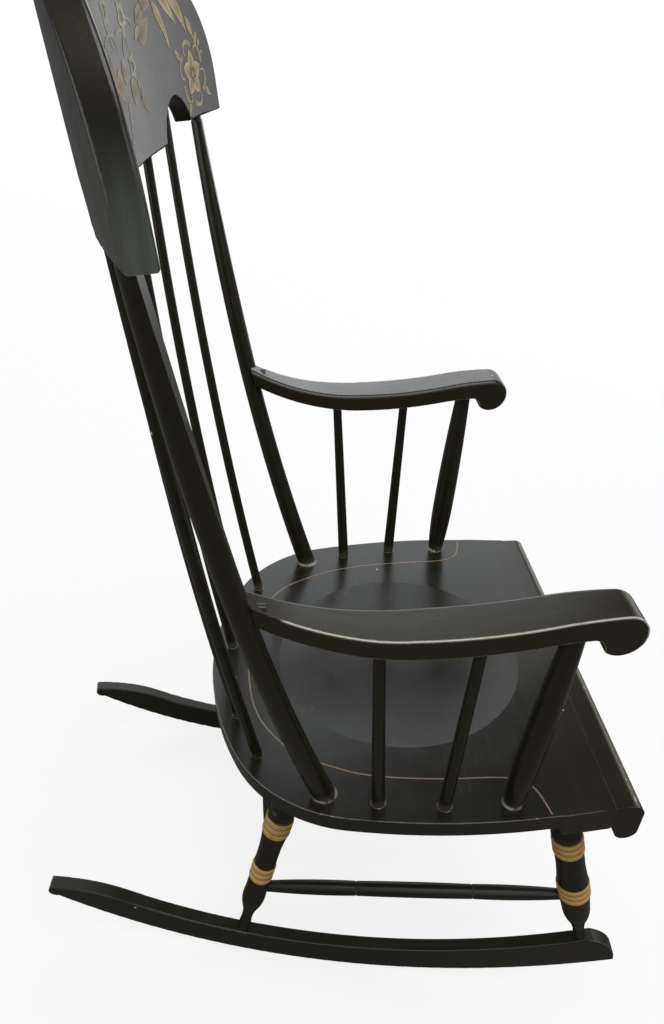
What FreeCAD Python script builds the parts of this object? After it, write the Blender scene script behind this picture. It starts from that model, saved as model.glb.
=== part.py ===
import FreeCAD, Part
import math
import os

import Sketcher

# A Boston rocking chair, in millimetres. Two frames are used.
# The seat frame has its origin on the seat top, midway between the two back posts: X across the chair,
# Y to the rear, Z square to the seat. Every piece is drawn in it.
# The floor frame is the finished one: the whole chair is leant back about the centre of the rocker curve
# until its centre of gravity lies over the point where the rockers touch the floor.

SIZES = {
    # plank seat
    "seat_thickness": 34.0,
    "seat_rim_thickness": 21.0,
    "seat_bevel_width": 30.0,
    "seat_rear_depth": 128.0,
    "seat_front_depth": 305.0,
    "seat_rear_radius": 360.0,
    "seat_rear_half_width": 150.0,
    "seat_corner_radius": 160.0,
    "seat_shoulder_half_width": 240.6,
    "seat_shoulder_depth": 20.9,
    "seat_side_radius": 833.0,
    "seat_half_width": 252.0,
    "seat_front_half_width": 247.0,
    "bevel_stop_depth": 238.0,
    "bevel_stop_length": 12.0,
    "dish_radius": 152.0,
    "dish_depth": 7.0,
    "dish_centre_depth": 108.0,
    "seat_edge_round": 2.5,
    # front roll
    "roll_depth": 33.0,
    "roll_drop": 55.0,
    "roll_nose_radius": 14.0,
    "roll_cove_radius": 6.0,
    "roll_bead_width": 26.0,
    "roll_tongue_thickness": 8.0,
    "roll_tongue_depth": 9.0,
    "roll_tongue_stop": 30.0,
    "roll_half_width": 246.0,
    # bent back posts
    "post_half_spacing": 208.0,
    "post_top_half_spacing": 276.0,
    "post_top_height": 561.0,
    "post_top_setback": 110.0,
    "post_bow": 15.0,
    "post_foot_diameter": 25.0,
    "post_middle_diameter": 21.0,
    "post_top_diameter": 19.0,
    "post_flat_depth": 7.0,
    "post_flat_share": 0.52,
    "post_flat_radius": 5000.0,
    "post_tenon_diameter": 11.0,
    "post_tenon_length": 34.0,
    "post_foot_tenon_length": 24.0,
    # bent back spindles
    "spindle_count": 6.0,
    "spindle_spacing": 60.0,
    "spindle_top_spacing": 78.0,
    "spindle_row_setback": 105.5,
    "spindle_row_radius": 345.0,
    "spindle_bow": 8.0,
    "spindle_foot_diameter": 12.0,
    "spindle_top_diameter": 9.0,
    "spindle_tenon_length": 17.0,
    # crest rail
    "crest_half_width": 320.0,
    "crest_thickness": 18.0,
    "crest_bow_radius": 860.0,
    "crest_end_height": 31.0,
    "crest_shoulder_radius": 100.0,
    "crest_shoulder_width": 65.0,
    "crest_shoulder_rise": 93.0,
    "crest_top_radius": 730.0,
    "crest_drop": 11.0,
    "crest_drop_half_width": 163.0,
    "crest_notch_half_width": 240.0,
    "crest_notch_peak": 205.0,
    "crest_notch_rise": 26.0,
    "crest_notch_radius": 48.0,
    "crest_notch_outer_radius": 42.0,
    "crest_edge_round": 2.5,
    # arms
    "arm_half_spacing": 238.0,
    "arm_low_height": 259.0,
    "arm_front_height": 275.0,
    "arm_thickness": 20.0,
    "arm_rear_height": 293.0,
    "arm_low_depth": 75.0,
    "arm_rise_depth": 185.0,
    "arm_rise_height": 268.7,
    "arm_cove_height": 252.0,
    "arm_rear_radius": 270.0,
    "arm_dip_radius": 650.0,
    "arm_crown_radius": 404.0,
    "arm_side_radius": 2500.0,
    "arm_front_radius": 2500.0,
    "arm_scroll_depth": 246.0,
    "arm_scroll_radius": 21.0,
    "arm_cove_radius": 13.0,
    "arm_cove_length": 25.0,
    "arm_rear_outer": 6.0,
    "arm_rear_inner": 16.0,
    "arm_elbow_depth": 42.0,
    "arm_elbow_outer": 20.0,
    "arm_elbow_inner": 24.0,
    "arm_front_outer": 17.0,
    "arm_front_inner": 20.0,
    "arm_edge_round": 5.0,
    "arm_tenon_diameter": 9.0,
    "arm_tenon_length": 13.0,
    "arm_lap_depth": 5.0,
    # turned arm posts and arm spindles
    "arm_post_depth": 197.0,
    "arm_post_half_spacing": 231.5,
    "arm_post_top_depth": 214.0,
    "arm_post_foot_diameter": 20.0,
    "arm_post_swell_diameter": 28.0,
    "arm_post_neck_diameter": 18.0,
    "arm_post_swell_share": 0.3,
    "arm_post_swell_radius": 700.0,
    "arm_post_shaft_radius": 3150.0,
    "arm_post_tenon_length": 12.0,
    "rear_arm_spindle_depth": 56.0,
    "rear_arm_spindle_half_spacing": 223.0,
    "rear_arm_spindle_top_depth": 44.0,
    "front_arm_spindle_depth": 125.0,
    "front_arm_spindle_half_spacing": 231.5,
    "front_arm_spindle_top_depth": 134.0,
    "arm_spindle_foot_diameter": 14.5,
    "arm_spindle_top_diameter": 11.0,
    "seat_socket_depth": 18.0,
    # rockers
    "rocker_radius": 800.0,
    "rocker_centre_depth": 170.0,
    "rocker_floor_drop": 390.0,
    "rocker_top_radius": 700.0,
    "rocker_top_centre_depth": 135.0,
    "rocker_top_drop": 343.0,
    "rocker_heel_length": 329.0,
    "rocker_nose_length": 335.0,
    "rocker_nose_drop": 200.0,
    "rocker_nose_radius": 9.0,
    "rocker_hump_start": 246.0,
    "rocker_hump_radius": 190.0,
    "rocker_flat_start_depth": 348.0,
    "rocker_flat_end_depth": 356.0,
    "rocker_front_radius": 50.0,
    "rocker_toe_depth": 392.0,
    "rocker_edge_round": 2.0,
    "rocker_thickness": 18.0,
    "rocker_half_spacing": 195.0,
    "rocker_toe_in": 79.0,
    # turned legs
    "front_leg_depth": 272.0,
    "front_leg_half_spacing": 178.0,
    "front_foot_depth": 339.0,
    "rear_leg_setback": 29.0,
    "rear_leg_half_spacing": 150.0,
    "rear_foot_setback": 104.0,
    "front_leg_diameter": 38.0,
    "rear_leg_diameter": 31.0,
    "leg_foot_diameter": 15.0,
    "leg_top_diameter": 24.0,
    "leg_tenon_length": 20.0,
    "leg_foot_tenon_diameter": 9.0,
    "leg_foot_tenon_length": 16.0,
    "leg_foot_height": 14.0,
    "leg_ogee_radius": 62.0,
    "leg_ring_height": 9.0,
    "leg_ring_radius": 8.0,
    "leg_waist_radius": 900.0,
    "leg_belly_length": 24.0,
    "leg_collar_radius": 14.0,
    "front_low_band_height": 101.0,
    "front_high_band_height": 182.0,
    "rear_low_band_height": 113.0,
    "rear_high_band_height": 195.0,
    "leg_collar_height": 12.0,
    "leg_taper_length": 14.0,
    # turned stretchers
    "side_stretcher_share": 0.29,
    "rear_stretcher_share": 0.55,
    "front_stretcher_share": 0.50,
    "side_stretcher_diameter": 20.0,
    "cross_stretcher_diameter": 21.0,
    "stretcher_end_diameter": 14.0,
    "stretcher_tenon_length": 9.0,
    "stretcher_ring_width": 2.0,
    "stretcher_ring_depth": 1.0,
    "stretcher_swell_radius": 1200.0,
    "stretcher_middle_radius": 4000.0,
    # fits
    "glue_gap": 0.15,
    "socket_end_gap": 0.6,
    "butt_gap": 0.2,
    "scribe_allowance": 3.0,
}

doc = FreeCAD.newDocument("boston_rocker")


class Dim:
    """A size that is a number and, at the same time, the text of the sheet formula that gives it."""

    def __init__(self, value, text=None):
        self.value = float(value)
        self.text = text if text is not None else repr(float(value))

    def combine(self, other, sign, value, turned=False):
        other = other if isinstance(other, Dim) else Dim(other)
        first, second = (other, self) if turned else (self, other)
        return Dim(value, "(%s %s %s)" % (first.text, sign, second.text))

    def __add__(self, other):
        return self.combine(other, "+", self.value + number(other))

    def __radd__(self, other):
        return self.combine(other, "+", self.value + number(other), True)

    def __sub__(self, other):
        return self.combine(other, "-", self.value - number(other))

    def __rsub__(self, other):
        return self.combine(other, "-", number(other) - self.value, True)

    def __mul__(self, other):
        return self.combine(other, "*", self.value * number(other))

    def __rmul__(self, other):
        return self.combine(other, "*", self.value * number(other), True)

    def __truediv__(self, other):
        return self.combine(other, "/", self.value / number(other))

    def __neg__(self):
        return Dim(-self.value, "(0 - %s)" % self.text)


def number(value):
    return value.value if isinstance(value, Dim) else float(value)


def root(value):
    return Dim(math.sqrt(value.value), "sqrt(%s)" % value.text)


def make_sheet():
    sheet = doc.addObject("Spreadsheet::Sheet", "sizes")
    for row, (name, value) in enumerate(SIZES.items(), 1):
        sheet.set("A%d" % row, name)
        sheet.set("B%d" % row, repr(value))
        sheet.setAlias("B%d" % row, name)
    doc.recompute()
    return sheet


SHEET = make_sheet()


def size(name):
    """The named size, tied to its cell."""
    return Dim(SIZES[name], "sizes.%s" % name)


def derived(name, value):
    """A worked-out size that gets a cell of its own, for features that share it."""
    if name not in DERIVED:
        row = len(SIZES) + len(DERIVED) + 2
        SHEET.set("A%d" % row, name)
        SHEET.set("B%d" % row, repr(round(number(value), 6)))
        SHEET.setAlias("B%d" % row, name)
        DERIVED[name] = round(number(value), 6)
    return Dim(DERIVED[name], "sizes.%s" % name)


DERIVED = {}


class Outline:
    """A closed outline of lines and arcs in a sketch. Each corner and each radius is a constraint
    that the sheet drives."""

    def __init__(self, sketch, x, y):
        self.sketch = sketch
        self.corners = [(x, y)]
        self.arcs = []

    def line(self, x, y):
        self.corners.append((x, y))
        self.arcs.append(None)
        return self

    def arc(self, x, y, radius, turn):
        """turn is 1 where the outline bends left on its way, and -1 where it bends right."""
        self.corners.append((x, y))
        self.arcs.append((radius, turn))
        return self

    def close(self, radius=None, turn=1):
        self.arcs.append(None if radius is None else (radius, turn))
        geometry = []
        first_ends = []
        for index, arc in enumerate(self.arcs):
            start = point(self.corners[index])
            end = point(self.corners[(index + 1) % len(self.corners)])
            if arc is None:
                geometry.append(Part.LineSegment(start, end))
                first_ends.append((1, 2))
            else:
                geometry.append(arc_between(start, end, number(arc[0]), arc[1]))
                first_ends.append((1, 2) if arc[1] > 0 else (2, 1))
        base = self.sketch.GeometryCount
        self.sketch.addGeometry(geometry, False)
        for index, arc in enumerate(self.arcs):
            here = base + index
            following = base + (index + 1) % len(self.arcs)
            next_start = first_ends[(index + 1) % len(self.arcs)][0]
            self.sketch.addConstraint(
                Sketcher.Constraint("Coincident", here, first_ends[index][1], following, next_start))
        for index, (x, y) in enumerate(self.corners):
            tie_point(self.sketch, base + index, first_ends[index][0], x, y)
        for index, arc in enumerate(self.arcs):
            if arc is not None:
                tie(self.sketch, Sketcher.Constraint("Radius", base + index, number(arc[0])), arc[0])
        return self.sketch


def point(corner):
    return FreeCAD.Vector(number(corner[0]), number(corner[1]), 0)


def arc_between(start, end, radius, turn):
    middle = (start + end) * 0.5
    chord = end - start
    rise = math.sqrt(max(radius * radius - chord.Length * chord.Length / 4, 0.0))
    left = FreeCAD.Vector(-chord.y, chord.x, 0) * (1.0 / chord.Length)
    centre = middle + left * (rise * turn)
    first, last = (start, end) if turn > 0 else (end, start)
    first_angle = math.atan2(first.y - centre.y, first.x - centre.x)
    last_angle = math.atan2(last.y - centre.y, last.x - centre.x)
    circle = Part.Circle(centre, FreeCAD.Vector(0, 0, 1), radius)
    return Part.ArcOfCircle(circle, first_angle, last_angle)


def tie(sketch, constraint, formula):
    index = sketch.addConstraint(constraint)
    if isinstance(formula, Dim) and "sizes." in formula.text:
        sketch.setExpression("Constraints[%d]" % index, formula.text)


def tie_point(sketch, piece, end, x, y):
    """Ties one end of a line or arc to its distances from the sketch's origin."""
    if number(x) == 0:
        sketch.addConstraint(Sketcher.Constraint("PointOnObject", piece, end, -2))
    else:
        tie(sketch, Sketcher.Constraint("DistanceX", -1, 1, piece, end, number(x)), x)
    if number(y) == 0:
        sketch.addConstraint(Sketcher.Constraint("PointOnObject", piece, end, -1))
    else:
        tie(sketch, Sketcher.Constraint("DistanceY", -1, 1, piece, end, number(y)), y)


def new_body(name):
    body = doc.addObject("PartDesign::Body", name)
    body.Label = name
    return body


def plane_of(body, role):
    return [item for item in body.Origin.OriginFeatures if item.Role == role][0]


def new_sketch(body, name, role, offset=None):
    sketch = body.newObject("Sketcher::SketchObject", name)
    sketch.AttachmentSupport = [(plane_of(body, role), "")]
    sketch.MapMode = "FlatFace"
    if offset is not None:
        sketch.AttachmentOffset = offset
    return sketch


def add_pad(body, sketch, length, name, middle=False, backwards=False):
    pad = body.newObject("PartDesign::Pad", name)
    pad.Profile = sketch
    pad.Length = number(length)
    if isinstance(length, Dim):
        pad.setExpression("Length", length.text)
    pad.Midplane = middle
    pad.Reversed = backwards
    return pad


def add_pocket(body, sketch, length, name, middle=False, backwards=False):
    pocket = body.newObject("PartDesign::Pocket", name)
    pocket.Profile = sketch
    pocket.Length = number(length)
    if isinstance(length, Dim):
        pocket.setExpression("Length", length.text)
    pocket.Midplane = middle
    pocket.Reversed = backwards
    return pocket


def add_turning(body, name, stations):
    """A turned piece about its own Z axis: stations are (radius, height) from bottom to top, and a third
    and fourth value make the stretch that ends there an arc of that radius and turn."""
    sketch = new_sketch(body, name + "_half_profile", "XZ_Plane")
    outline = Outline(sketch, Dim(0), stations[0][1])
    for station in stations:
        if len(station) == 2:
            outline.line(station[0], station[1])
        else:
            outline.arc(*station)
    outline.line(Dim(0), stations[-1][1])
    outline.close()
    turning = body.newObject("PartDesign::Revolution", name + "_turning")
    turning.Profile = sketch
    turning.ReferenceAxis = (sketch, ["V_Axis"])
    turning.Angle = 360
    return turning


def rounded(body, feature, radius, chosen):
    """Rounds the feature's edges that the given test picks."""
    doc.recompute()
    names = ["Edge%d" % (index + 1) for index, edge in enumerate(feature.Shape.Edges) if chosen(edge)]
    fillet = body.newObject("PartDesign::Fillet", feature.Name + "_rounding")
    fillet.Base = (feature, names)
    fillet.Radius = radius.value
    fillet.setExpression("Radius", radius.text)
    return fillet


def along(start, end, rear=FreeCAD.Vector(0, 1, 0)):
    """A placement at start whose Z axis runs to end and whose Y axis stays as near to the rear as it can."""
    axis = end - start
    rotation = FreeCAD.Rotation(FreeCAD.Vector(0, 0, 0), rear, axis, "ZYX")
    return FreeCAD.Placement(start, rotation)


def lowered(height):
    return FreeCAD.Placement(FreeCAD.Vector(0, 0, number(height)), FreeCAD.Rotation())


def bore(name, placement, radius, low, high):
    """A round hole along the placement's Z axis, from the low to the high height."""
    tool = doc.addObject("Part::Cylinder", name)
    depth = high - low
    tool.Radius = number(radius)
    tool.Height = number(depth)
    tool.setExpression("Radius", radius.text)
    tool.setExpression("Height", depth.text)
    tool.Placement = placement.multiply(lowered(low))
    return tool


def drilled(name, body, tools):
    """The finished piece: the shaped blank with its sockets bored."""
    bores = doc.addObject("Part::MultiFuse", name + "_bores")
    bores.Shapes = tools
    cut = doc.addObject("Part::Cut", name)
    cut.Base = body
    cut.Tool = bores
    cut.Label = name
    return cut


def vector(x, y, z):
    return FreeCAD.Vector(number(x), number(y), number(z))


def circle_on(sketch, diameter, x=Dim(0), y=Dim(0)):
    index = sketch.addGeometry(Part.Circle(vector(x, y, 0), FreeCAD.Vector(0, 0, 1), number(diameter) / 2))
    tie_point(sketch, index, 3, x, y)
    tie(sketch, Sketcher.Constraint("Diameter", index, number(diameter)), diameter)
    return sketch


def bent_rod(body, name, length, bow, diameters):
    """A round bent rod from its own origin up to (0, 0, length), bowed to the rear in the middle.
    The three diameters are at its foot, middle and top. Returns the angle of its ends."""
    radius = (length * length / 4 + bow * bow) / (2 * bow)
    route = new_sketch(body, name + "_route", "YZ_Plane")
    arc = arc_between(vector(0, 0, 0), vector(0, length, 0), number(radius), 1)
    index = route.addGeometry(arc)
    tie_point(route, index, 1, Dim(0), Dim(0))
    tie_point(route, index, 2, Dim(0), length)
    tie(route, Sketcher.Constraint("Radius", index, number(radius)), radius)
    end_angle = math.degrees(math.asin(number(length) / 2 / number(radius)))
    places = [(0.0, 0.0, -end_angle),
              (number(bow), number(length) / 2, 0.0),
              (0.0, number(length), end_angle)]
    sections = []
    for place, (setback, height, tilt) in zip(("foot", "middle", "top"), places):
        turn = FreeCAD.Rotation(FreeCAD.Vector(1, 0, 0), tilt)
        offset = FreeCAD.Placement(FreeCAD.Vector(0, setback, height), turn)
        section = new_sketch(body, "%s_%s" % (name, place), "XY_Plane", offset)
        sections.append(circle_on(section, diameters[len(sections)]))
    rod = body.newObject("PartDesign::AdditivePipe", name + "_rod")
    rod.Profile = sections[0]
    rod.Spine = (route, ["Edge1"])
    rod.Transformation = "Multisection"
    rod.Sections = sections[1:]
    return sections, end_angle


def seat_outline(sketch, inset):
    """The D of the seat, drawn in by the inset along its rear and sides as far as the bevel stops."""
    rear_x = size("seat_rear_half_width")
    rear_radius = size("seat_rear_radius")
    corner_radius = size("seat_corner_radius")
    rear_normal_x = rear_x / rear_radius
    rear_normal_y = root(1 - rear_normal_x * rear_normal_x)
    rear_y = size("seat_rear_depth") - rear_radius * (1 - rear_normal_y)
    shoulder_x = size("seat_shoulder_half_width")
    shoulder_y = -size("seat_shoulder_depth")
    side_normal_x = (shoulder_x - rear_x) / corner_radius + rear_normal_x
    side_normal_y = (shoulder_y - rear_y) / corner_radius + rear_normal_y
    rear = (rear_x - inset * rear_normal_x, rear_y - inset * rear_normal_y)
    shoulder = (shoulder_x - inset * side_normal_x, shoulder_y - inset * side_normal_y)
    stop = (size("seat_half_width") - inset, -size("bevel_stop_depth"))
    full = (size("seat_half_width"), -size("bevel_stop_depth") - size("bevel_stop_length"))
    front = (size("seat_front_half_width"), -size("seat_front_depth"))
    side_radius = size("seat_side_radius") - inset
    outline = Outline(sketch, -front[0], front[1])
    outline.line(*front)
    outline.line(*full)
    outline.line(*stop)
    outline.arc(*shoulder, side_radius, 1)
    outline.arc(*rear, corner_radius - inset, 1)
    outline.arc(-rear[0], rear[1], rear_radius - inset, 1)
    outline.arc(-shoulder[0], shoulder[1], corner_radius - inset, 1)
    outline.arc(-stop[0], stop[1], side_radius, 1)
    outline.line(-full[0], full[1])
    return outline.close()


def seat_blank():
    """The plank: a full rim with its underside bevelled at the sides and rear, dished on top, and grooved
    along its front edge for the tongue of the roll."""
    body = new_body("seat_blank")
    rim = size("seat_rim_thickness")
    thickness = size("seat_thickness")
    outline = seat_outline(new_sketch(body, "rim_outline", "XY_Plane"), Dim(0))
    add_pad(body, outline, rim, "rim", backwards=True)
    upper = new_sketch(body, "bevel_top", "XY_Plane", lowered(-rim))
    lower = new_sketch(body, "bevel_foot", "XY_Plane", lowered(-thickness))
    upper.setExpression("AttachmentOffset.Base.z", (-rim).text)
    lower.setExpression("AttachmentOffset.Base.z", (-thickness).text)
    bevel = body.newObject("PartDesign::AdditiveLoft", "bevel")
    bevel.Profile = seat_outline(upper, Dim(0))
    bevel.Sections = [seat_outline(lower, size("seat_bevel_width"))]
    bevel.Ruled = True
    depth = size("dish_depth")
    reach = size("dish_radius")
    dish_radius = (reach * reach + depth * depth) / (2 * depth)
    dish_place = FreeCAD.Placement(vector(-size("dish_centre_depth"), 0, 0), FreeCAD.Rotation())
    dish_profile = new_sketch(body, "dish_profile", "YZ_Plane", dish_place)
    dish_profile.setExpression("AttachmentOffset.Base.x", (-size("dish_centre_depth")).text)
    outline = Outline(dish_profile, Dim(0), -depth)
    outline.arc(reach, Dim(0), dish_radius, 1)
    outline.line(reach, size("seat_edge_round"))
    outline.line(Dim(0), size("seat_edge_round"))
    outline.close()
    dish = body.newObject("PartDesign::Groove", "dish")
    dish.Profile = dish_profile
    dish.ReferenceAxis = (dish_profile, ["V_Axis"])
    dish.Angle = 360
    groove_depth = size("roll_tongue_depth") + size("socket_end_gap")
    groove_half = size("roll_tongue_thickness") / 2 + size("butt_gap")
    groove_sketch = new_sketch(body, "tongue_groove_profile", "YZ_Plane")
    mouth = -size("seat_front_depth") - size("socket_end_gap")
    inner = groove_depth - size("seat_front_depth")
    middle = -thickness / 2
    groove = Outline(groove_sketch, mouth, middle - groove_half)
    groove.line(inner, middle - groove_half)
    groove.line(inner, middle + groove_half)
    groove.line(mouth, middle + groove_half)
    groove.close()
    groove_length = 2 * (size("seat_front_half_width") - size("roll_tongue_stop") + size("butt_gap"))
    add_pocket(body, groove_sketch, groove_length, "tongue_groove", middle=True)
    return body


def make_front_roll():
    """The rolled moulding glued to the front edge of the plank. Its tongue runs in the plank's groove."""
    body = new_body("front_roll")
    back = -size("seat_front_depth") - size("butt_gap")
    front = back - size("roll_depth")
    nose = size("roll_nose_radius")
    bottom = -size("roll_drop")
    bead = size("roll_bead_width")
    thickness = size("seat_thickness")
    cove = size("roll_cove_radius")
    profile = new_sketch(body, "roll_profile", "YZ_Plane")
    outline = Outline(profile, back, Dim(0))
    outline.line(front + nose, Dim(0))
    outline.arc(front, -nose, nose, 1)
    outline.line(front, bottom + bead / 2)
    outline.arc(front + bead / 2, bottom, bead / 2, 1)
    outline.arc(front + bead, bottom + bead / 2, bead / 2, 1)
    outline.arc(front + bead + cove, -thickness, cove * 1.2, -1)
    outline.line(back, -thickness)
    outline.close()
    add_pad(body, profile, 2 * size("roll_half_width"), "roll", middle=True)
    tongue_sketch = new_sketch(body, "tongue_profile", "YZ_Plane")
    tip = back + size("roll_tongue_depth")
    half = size("roll_tongue_thickness") / 2
    middle = -thickness / 2
    tongue = Outline(tongue_sketch, back, middle - half)
    tongue.line(tip, middle - half)
    tongue.line(tip, middle + half)
    tongue.line(back, middle + half)
    tongue.close()
    tongue_length = 2 * (size("seat_front_half_width") - size("roll_tongue_stop"))
    add_pad(body, tongue_sketch, tongue_length, "tongue", middle=True)
    return body


def tilted(angle):
    return FreeCAD.Rotation(FreeCAD.Vector(1, 0, 0), angle)


def side_name(side):
    return "left" if side > 0 else "right"


def mirrored_x(side, value):
    """side is 1 on the sitter's left and -1 on the right."""
    return value if side > 0 else -value


def scribe_block(name, plane, tenon_place, tenon_radius):
    """What a shoulder is trimmed by, to sit flat on the plane: a block beyond the plane's upper side,
    with a hole that spares the tenon."""
    reach = 60.0
    block = doc.addObject("Part::Box", name + "_block")
    block.Length = reach
    block.Width = reach
    block.Height = reach
    block.Placement = plane.multiply(FreeCAD.Placement(FreeCAD.Vector(-reach / 2, -reach / 2, 0),
                                                       FreeCAD.Rotation()))
    spare = bore(name + "_spare", tenon_place, tenon_radius, Dim(-2 * reach), Dim(2 * reach))
    cut = doc.addObject("Part::Cut", name + "_scribe")
    cut.Base = block
    cut.Tool = spare
    return cut


class BackPost:
    """One bent back post, from its seat socket up to the crest rail."""

    def __init__(self, side):
        self.side = side
        foot = vector(mirrored_x(side, size("post_half_spacing")), 0, 0)
        top = vector(mirrored_x(side, size("post_top_half_spacing")), size("post_top_setback"),
                     size("post_top_height"))
        self.place = along(foot, top)
        self.length = derived("post_length", Dim((top - foot).Length))
        self.rod_length = self.length + size("scribe_allowance")
        self.bow = size("post_bow")
        radius = (self.rod_length * self.rod_length / 4 + self.bow * self.bow) / (2 * self.bow)
        self.end_angle = math.degrees(math.asin(self.rod_length.value / 2 / radius.value))

    def at_foot(self):
        return self.place.multiply(FreeCAD.Placement(FreeCAD.Vector(), tilted(-self.end_angle)))

    def at_top(self):
        """The axis of the top tenon, which is centred in the thickness that the flat leaves."""
        offset = vector(0, size("post_flat_depth") / 2, self.rod_length)
        return self.place.multiply(FreeCAD.Placement(offset, tilted(self.end_angle)))

    def axis_at(self, height):
        """The middle of the post at a height over the seat, in the seat frame."""
        along_post = height / self.place.Rotation.multVec(FreeCAD.Vector(0, 0, 1)).z
        share = along_post / self.rod_length.value
        bowed = 4 * self.bow.value * share * (1 - share)
        return self.place.multVec(FreeCAD.Vector(0, bowed, along_post))

    def blank(self):
        name = "back_post_%s_blank" % side_name(self.side)
        body = new_body(name)
        diameters = [size("post_foot_diameter"), size("post_middle_diameter"), size("post_top_diameter")]
        sections, angle = bent_rod(body, name, self.rod_length, self.bow, diameters)
        flat = new_sketch(body, name + "_flat", "YZ_Plane")
        start = (self.bow - size("post_middle_diameter") / 2, size("post_flat_share") * self.length)
        end_height = self.rod_length + size("scribe_allowance")
        outline = Outline(flat, *start)
        outline.arc(size("post_flat_depth") - size("post_top_diameter") / 2, end_height,
                    size("post_flat_radius"), 1)
        outline.line(-2 * size("post_top_diameter"), end_height)
        outline.line(-2 * size("post_top_diameter"), start[1])
        outline.close()
        add_pocket(body, flat, 3 * size("post_foot_diameter"), name + "_shaving", middle=True)
        foot = new_sketch(body, name + "_foot_ring", "XY_Plane",
                          FreeCAD.Placement(FreeCAD.Vector(), tilted(-angle)))
        circle_on(foot, size("post_foot_diameter"))
        add_pad(body, foot, size("post_foot_tenon_length"), name + "_foot_tenon", backwards=True)
        top_place = FreeCAD.Placement(vector(0, size("post_flat_depth") / 2, self.rod_length), tilted(angle))
        top = new_sketch(body, name + "_tenon_ring", "XY_Plane", top_place)
        circle_on(top, size("post_tenon_diameter"))
        add_pad(body, top, size("post_tenon_length"), name + "_top_tenon")
        body.Placement = self.place
        return body


POSTS = {side: BackPost(side) for side in (1, -1)}


def crest_sagitta(x):
    radius = size("crest_bow_radius").value
    return radius - math.sqrt(radius * radius - x * x)


def crest_place():
    """The rail's own frame: its middle, at the height of its end sections' lower edge, leaning as the
    tops of the posts lean."""
    top = POSTS[1].at_top()
    lean = top.Rotation.multVec(FreeCAD.Vector(0, 0, 1))
    angle = math.degrees(math.atan2(lean.y, lean.z))
    shoulder = top.multVec(vector(0, 0, -size("scribe_allowance")))
    middle = shoulder.y + crest_sagitta(shoulder.x)
    return FreeCAD.Placement(FreeCAD.Vector(0, middle, shoulder.z), tilted(-angle))


CREST = crest_place()


def crest_outline(sketch, outer=None):
    """The rail seen from the front: dropped middle, an arched notch at each side, rounded shoulders."""
    end = size("crest_half_width")
    drop_x = size("crest_drop_half_width")
    drop = -size("crest_drop")
    peak = (size("crest_notch_peak"), size("crest_notch_rise"))
    notch_x = size("crest_notch_half_width")
    end_height = size("crest_end_height")
    shoulder = (end - size("crest_shoulder_width"), end_height + size("crest_shoulder_rise"))
    inner = size("crest_notch_radius")
    outer_radius = size("crest_notch_outer_radius")
    outline = Outline(sketch, -drop_x, drop)
    outline.line(drop_x, drop)
    outline.arc(*peak, inner, -1)
    outline.arc(notch_x, Dim(0), outer_radius, -1)
    outline.line(end, Dim(0))
    outline.line(end, end_height)
    outline.arc(*shoulder, size("crest_shoulder_radius"), 1)
    outline.arc(-shoulder[0], shoulder[1], size("crest_top_radius"), 1)
    outline.arc(-end, end_height, size("crest_shoulder_radius"), 1)
    outline.line(-end, Dim(0))
    outline.line(-notch_x, Dim(0))
    outline.arc(-peak[0], peak[1], outer_radius, -1)
    return outline.close(inner, -1)


def frame_rectangle(sketch, half_width, low, high):
    outline = Outline(sketch, -half_width, low)
    outline.line(half_width, low)
    outline.line(half_width, high)
    outline.line(-half_width, high)
    return outline.close()


def crest_blank():
    """A plank bent to an arc in plan, then sawn to its front outline."""
    body = new_body("crest_blank")
    radius = size("crest_bow_radius")
    half = size("crest_half_width") + 6
    front = radius - size("crest_thickness") / 2
    back = radius + size("crest_thickness") / 2
    front_y = root(front * front - half * half) - radius
    back_y = root(back * back - half * half) - radius
    plan = new_sketch(body, "crest_plan", "XY_Plane")
    outline = Outline(plan, -half, front_y)
    outline.arc(half, front_y, front, -1)
    outline.line(half, back_y)
    outline.arc(-half, back_y, back, 1)
    outline.close()
    tall = 3 * (size("crest_shoulder_rise") + size("crest_end_height"))
    add_pad(body, plan, tall, "crest_plank", middle=True)
    face = new_sketch(body, "crest_face", "XZ_Plane")
    crest_outline(face)
    frame_rectangle(face, half + 20, -tall, tall)
    sawn = add_pocket(body, face, 2 * radius, "crest_sawing", middle=True)
    rounded(body, sawn, size("crest_edge_round"),
            lambda edge: edge.Length > 2 * size("crest_thickness").value)
    body.Placement = CREST
    return body


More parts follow.
